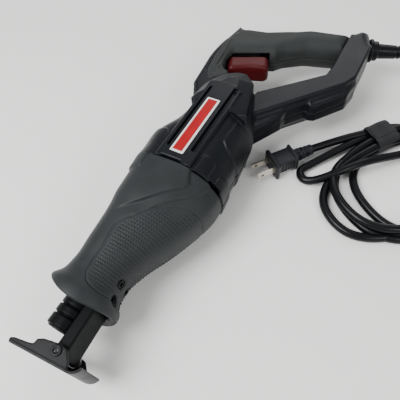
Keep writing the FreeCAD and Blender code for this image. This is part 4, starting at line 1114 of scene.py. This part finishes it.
def guard_field(x, y, z):
    """Tapered bend relief with two rings and three grooves."""
    out, across = turned(x, y, GLAND, GLAND_DIRECTION)
    rho = np.hypot(across, z - MID)
    half = (GUARD_LENGTH + GUARD_TAIL) / 2
    guard = both(rho - GUARD_R + GUARD_TAPER * out, abs(out - GUARD_LENGTH + half) - half, fillet=1.2)
    for middle, width, radius, rounding, fillet in GUARD_RINGS:
        ring = both(rho - radius, abs(out - middle) - width, fillet=rounding)
        guard = join(guard, ring, fillet)
    for k in range(3):
        groove = both(abs(out - 27.0 - 4.0 * k) - 0.6, GUARD_R - 1.1 - GUARD_TAPER * out - rho)
        guard = cut(guard, groove, fillet=0.5)
    return cut(guard, rho - CORD_DIAMETER / 2 - 0.02)


def plug_relief(run, side, rise):
    """Cone behind the plug, with four slots turned a quarter from one to the next."""
    rho = np.hypot(side, rise)
    relief = both(both(rho - 4.9 - 0.085 * run, -run, fillet=0.6), run - 21.0)
    for k in range(4):
        start = 2.6 + 4.1 * k
        across = abs(side) if k % 2 else abs(rise)
        slot = block(run, across, rho, (start, 1.6, 3.9), (start + 1.9, 20, 30), radius=0.3)
        relief = cut(relief, slot, fillet=0.2)
    return relief


def plug_field(x, y, z):
    """Two-pin plug: ribbed body between a wide face and a shoulder, on its relief."""
    run, side = turned(x, y, PLUG_REAR, PLUG_DIRECTION)
    rise = z - PLUG_AXIS_Z
    body = block(run, side, rise, *PLUG_BODY, radius=1.8)
    for k in range(4):
        start = 25.2 + 3.2 * k
        rib = block(run, abs(side), rise, (start, 7.7, -4.6), (start + 1.4, 12.0, 4.6), radius=0.3)
        body = cut(body, rib, fillet=0.3)
    body = join(body, block(run, side, rise, *PLUG_FACE, radius=1.6), fillet=0.8)
    body = join(body, block(run, side, rise, *PLUG_SHOULDER, radius=1.3), fillet=0.8)
    return join(plug_relief(run, side, rise), body, fillet=0.6)


def strap_field(x, y, z):
    """Hook-and-loop strap once round the bundle, its end lapped over the top."""
    u, v = turned(x, y, BUNDLE, BUNDLE_DIRECTION)
    qv = abs(v + 0.5) - STRAP_HALF[0] + STRAP_CORNER_R
    qz = abs(z - STRAP_Z - 0.35 * np.sin(0.35 * u)) - STRAP_HALF[1] + STRAP_CORNER_R
    corner = np.hypot(np.maximum(qv, 0), np.maximum(qz, 0))
    loop = corner + np.minimum(np.maximum(qv, qz), 0) - STRAP_CORNER_R
    band = both(abs(loop + 0.15) - 0.75, abs(u + 0.3 * np.sin(0.5 * v)) - 11.5, fillet=0.6)
    lap = both(abs(loop - 0.85) - 0.6, abs(u - 0.8) - 10.9, fillet=0.6)
    lap = both(lap, both(5.0 - z, -6.0 - v), fillet=0.5)
    return join(band, lap, fillet=0.15)


def cord_fittings():
    """Bend relief, plug and strap: the pieces that sit on the cord."""
    return [
        net_piece("bend_relief", "saw_body", "cord_rubber", guard_field, GUARD_BOX, 0.42, "cord_guard"),
        net_piece("plug_moulding", "saw_body", "plug_plastic", plug_field, PLUG_BOX, 0.40, "plug_body"),
        net_piece("bundle_strap", "saw_body", "wrap_fabric", strap_field, STRAP_BOX, 0.42, "cord_wrap"),
    ]


nose_boot()
housings()
labels()
nose_fittings()
grips()
trigger()

cord_fittings() + [frame["nodes"]["plug_prongs"]]
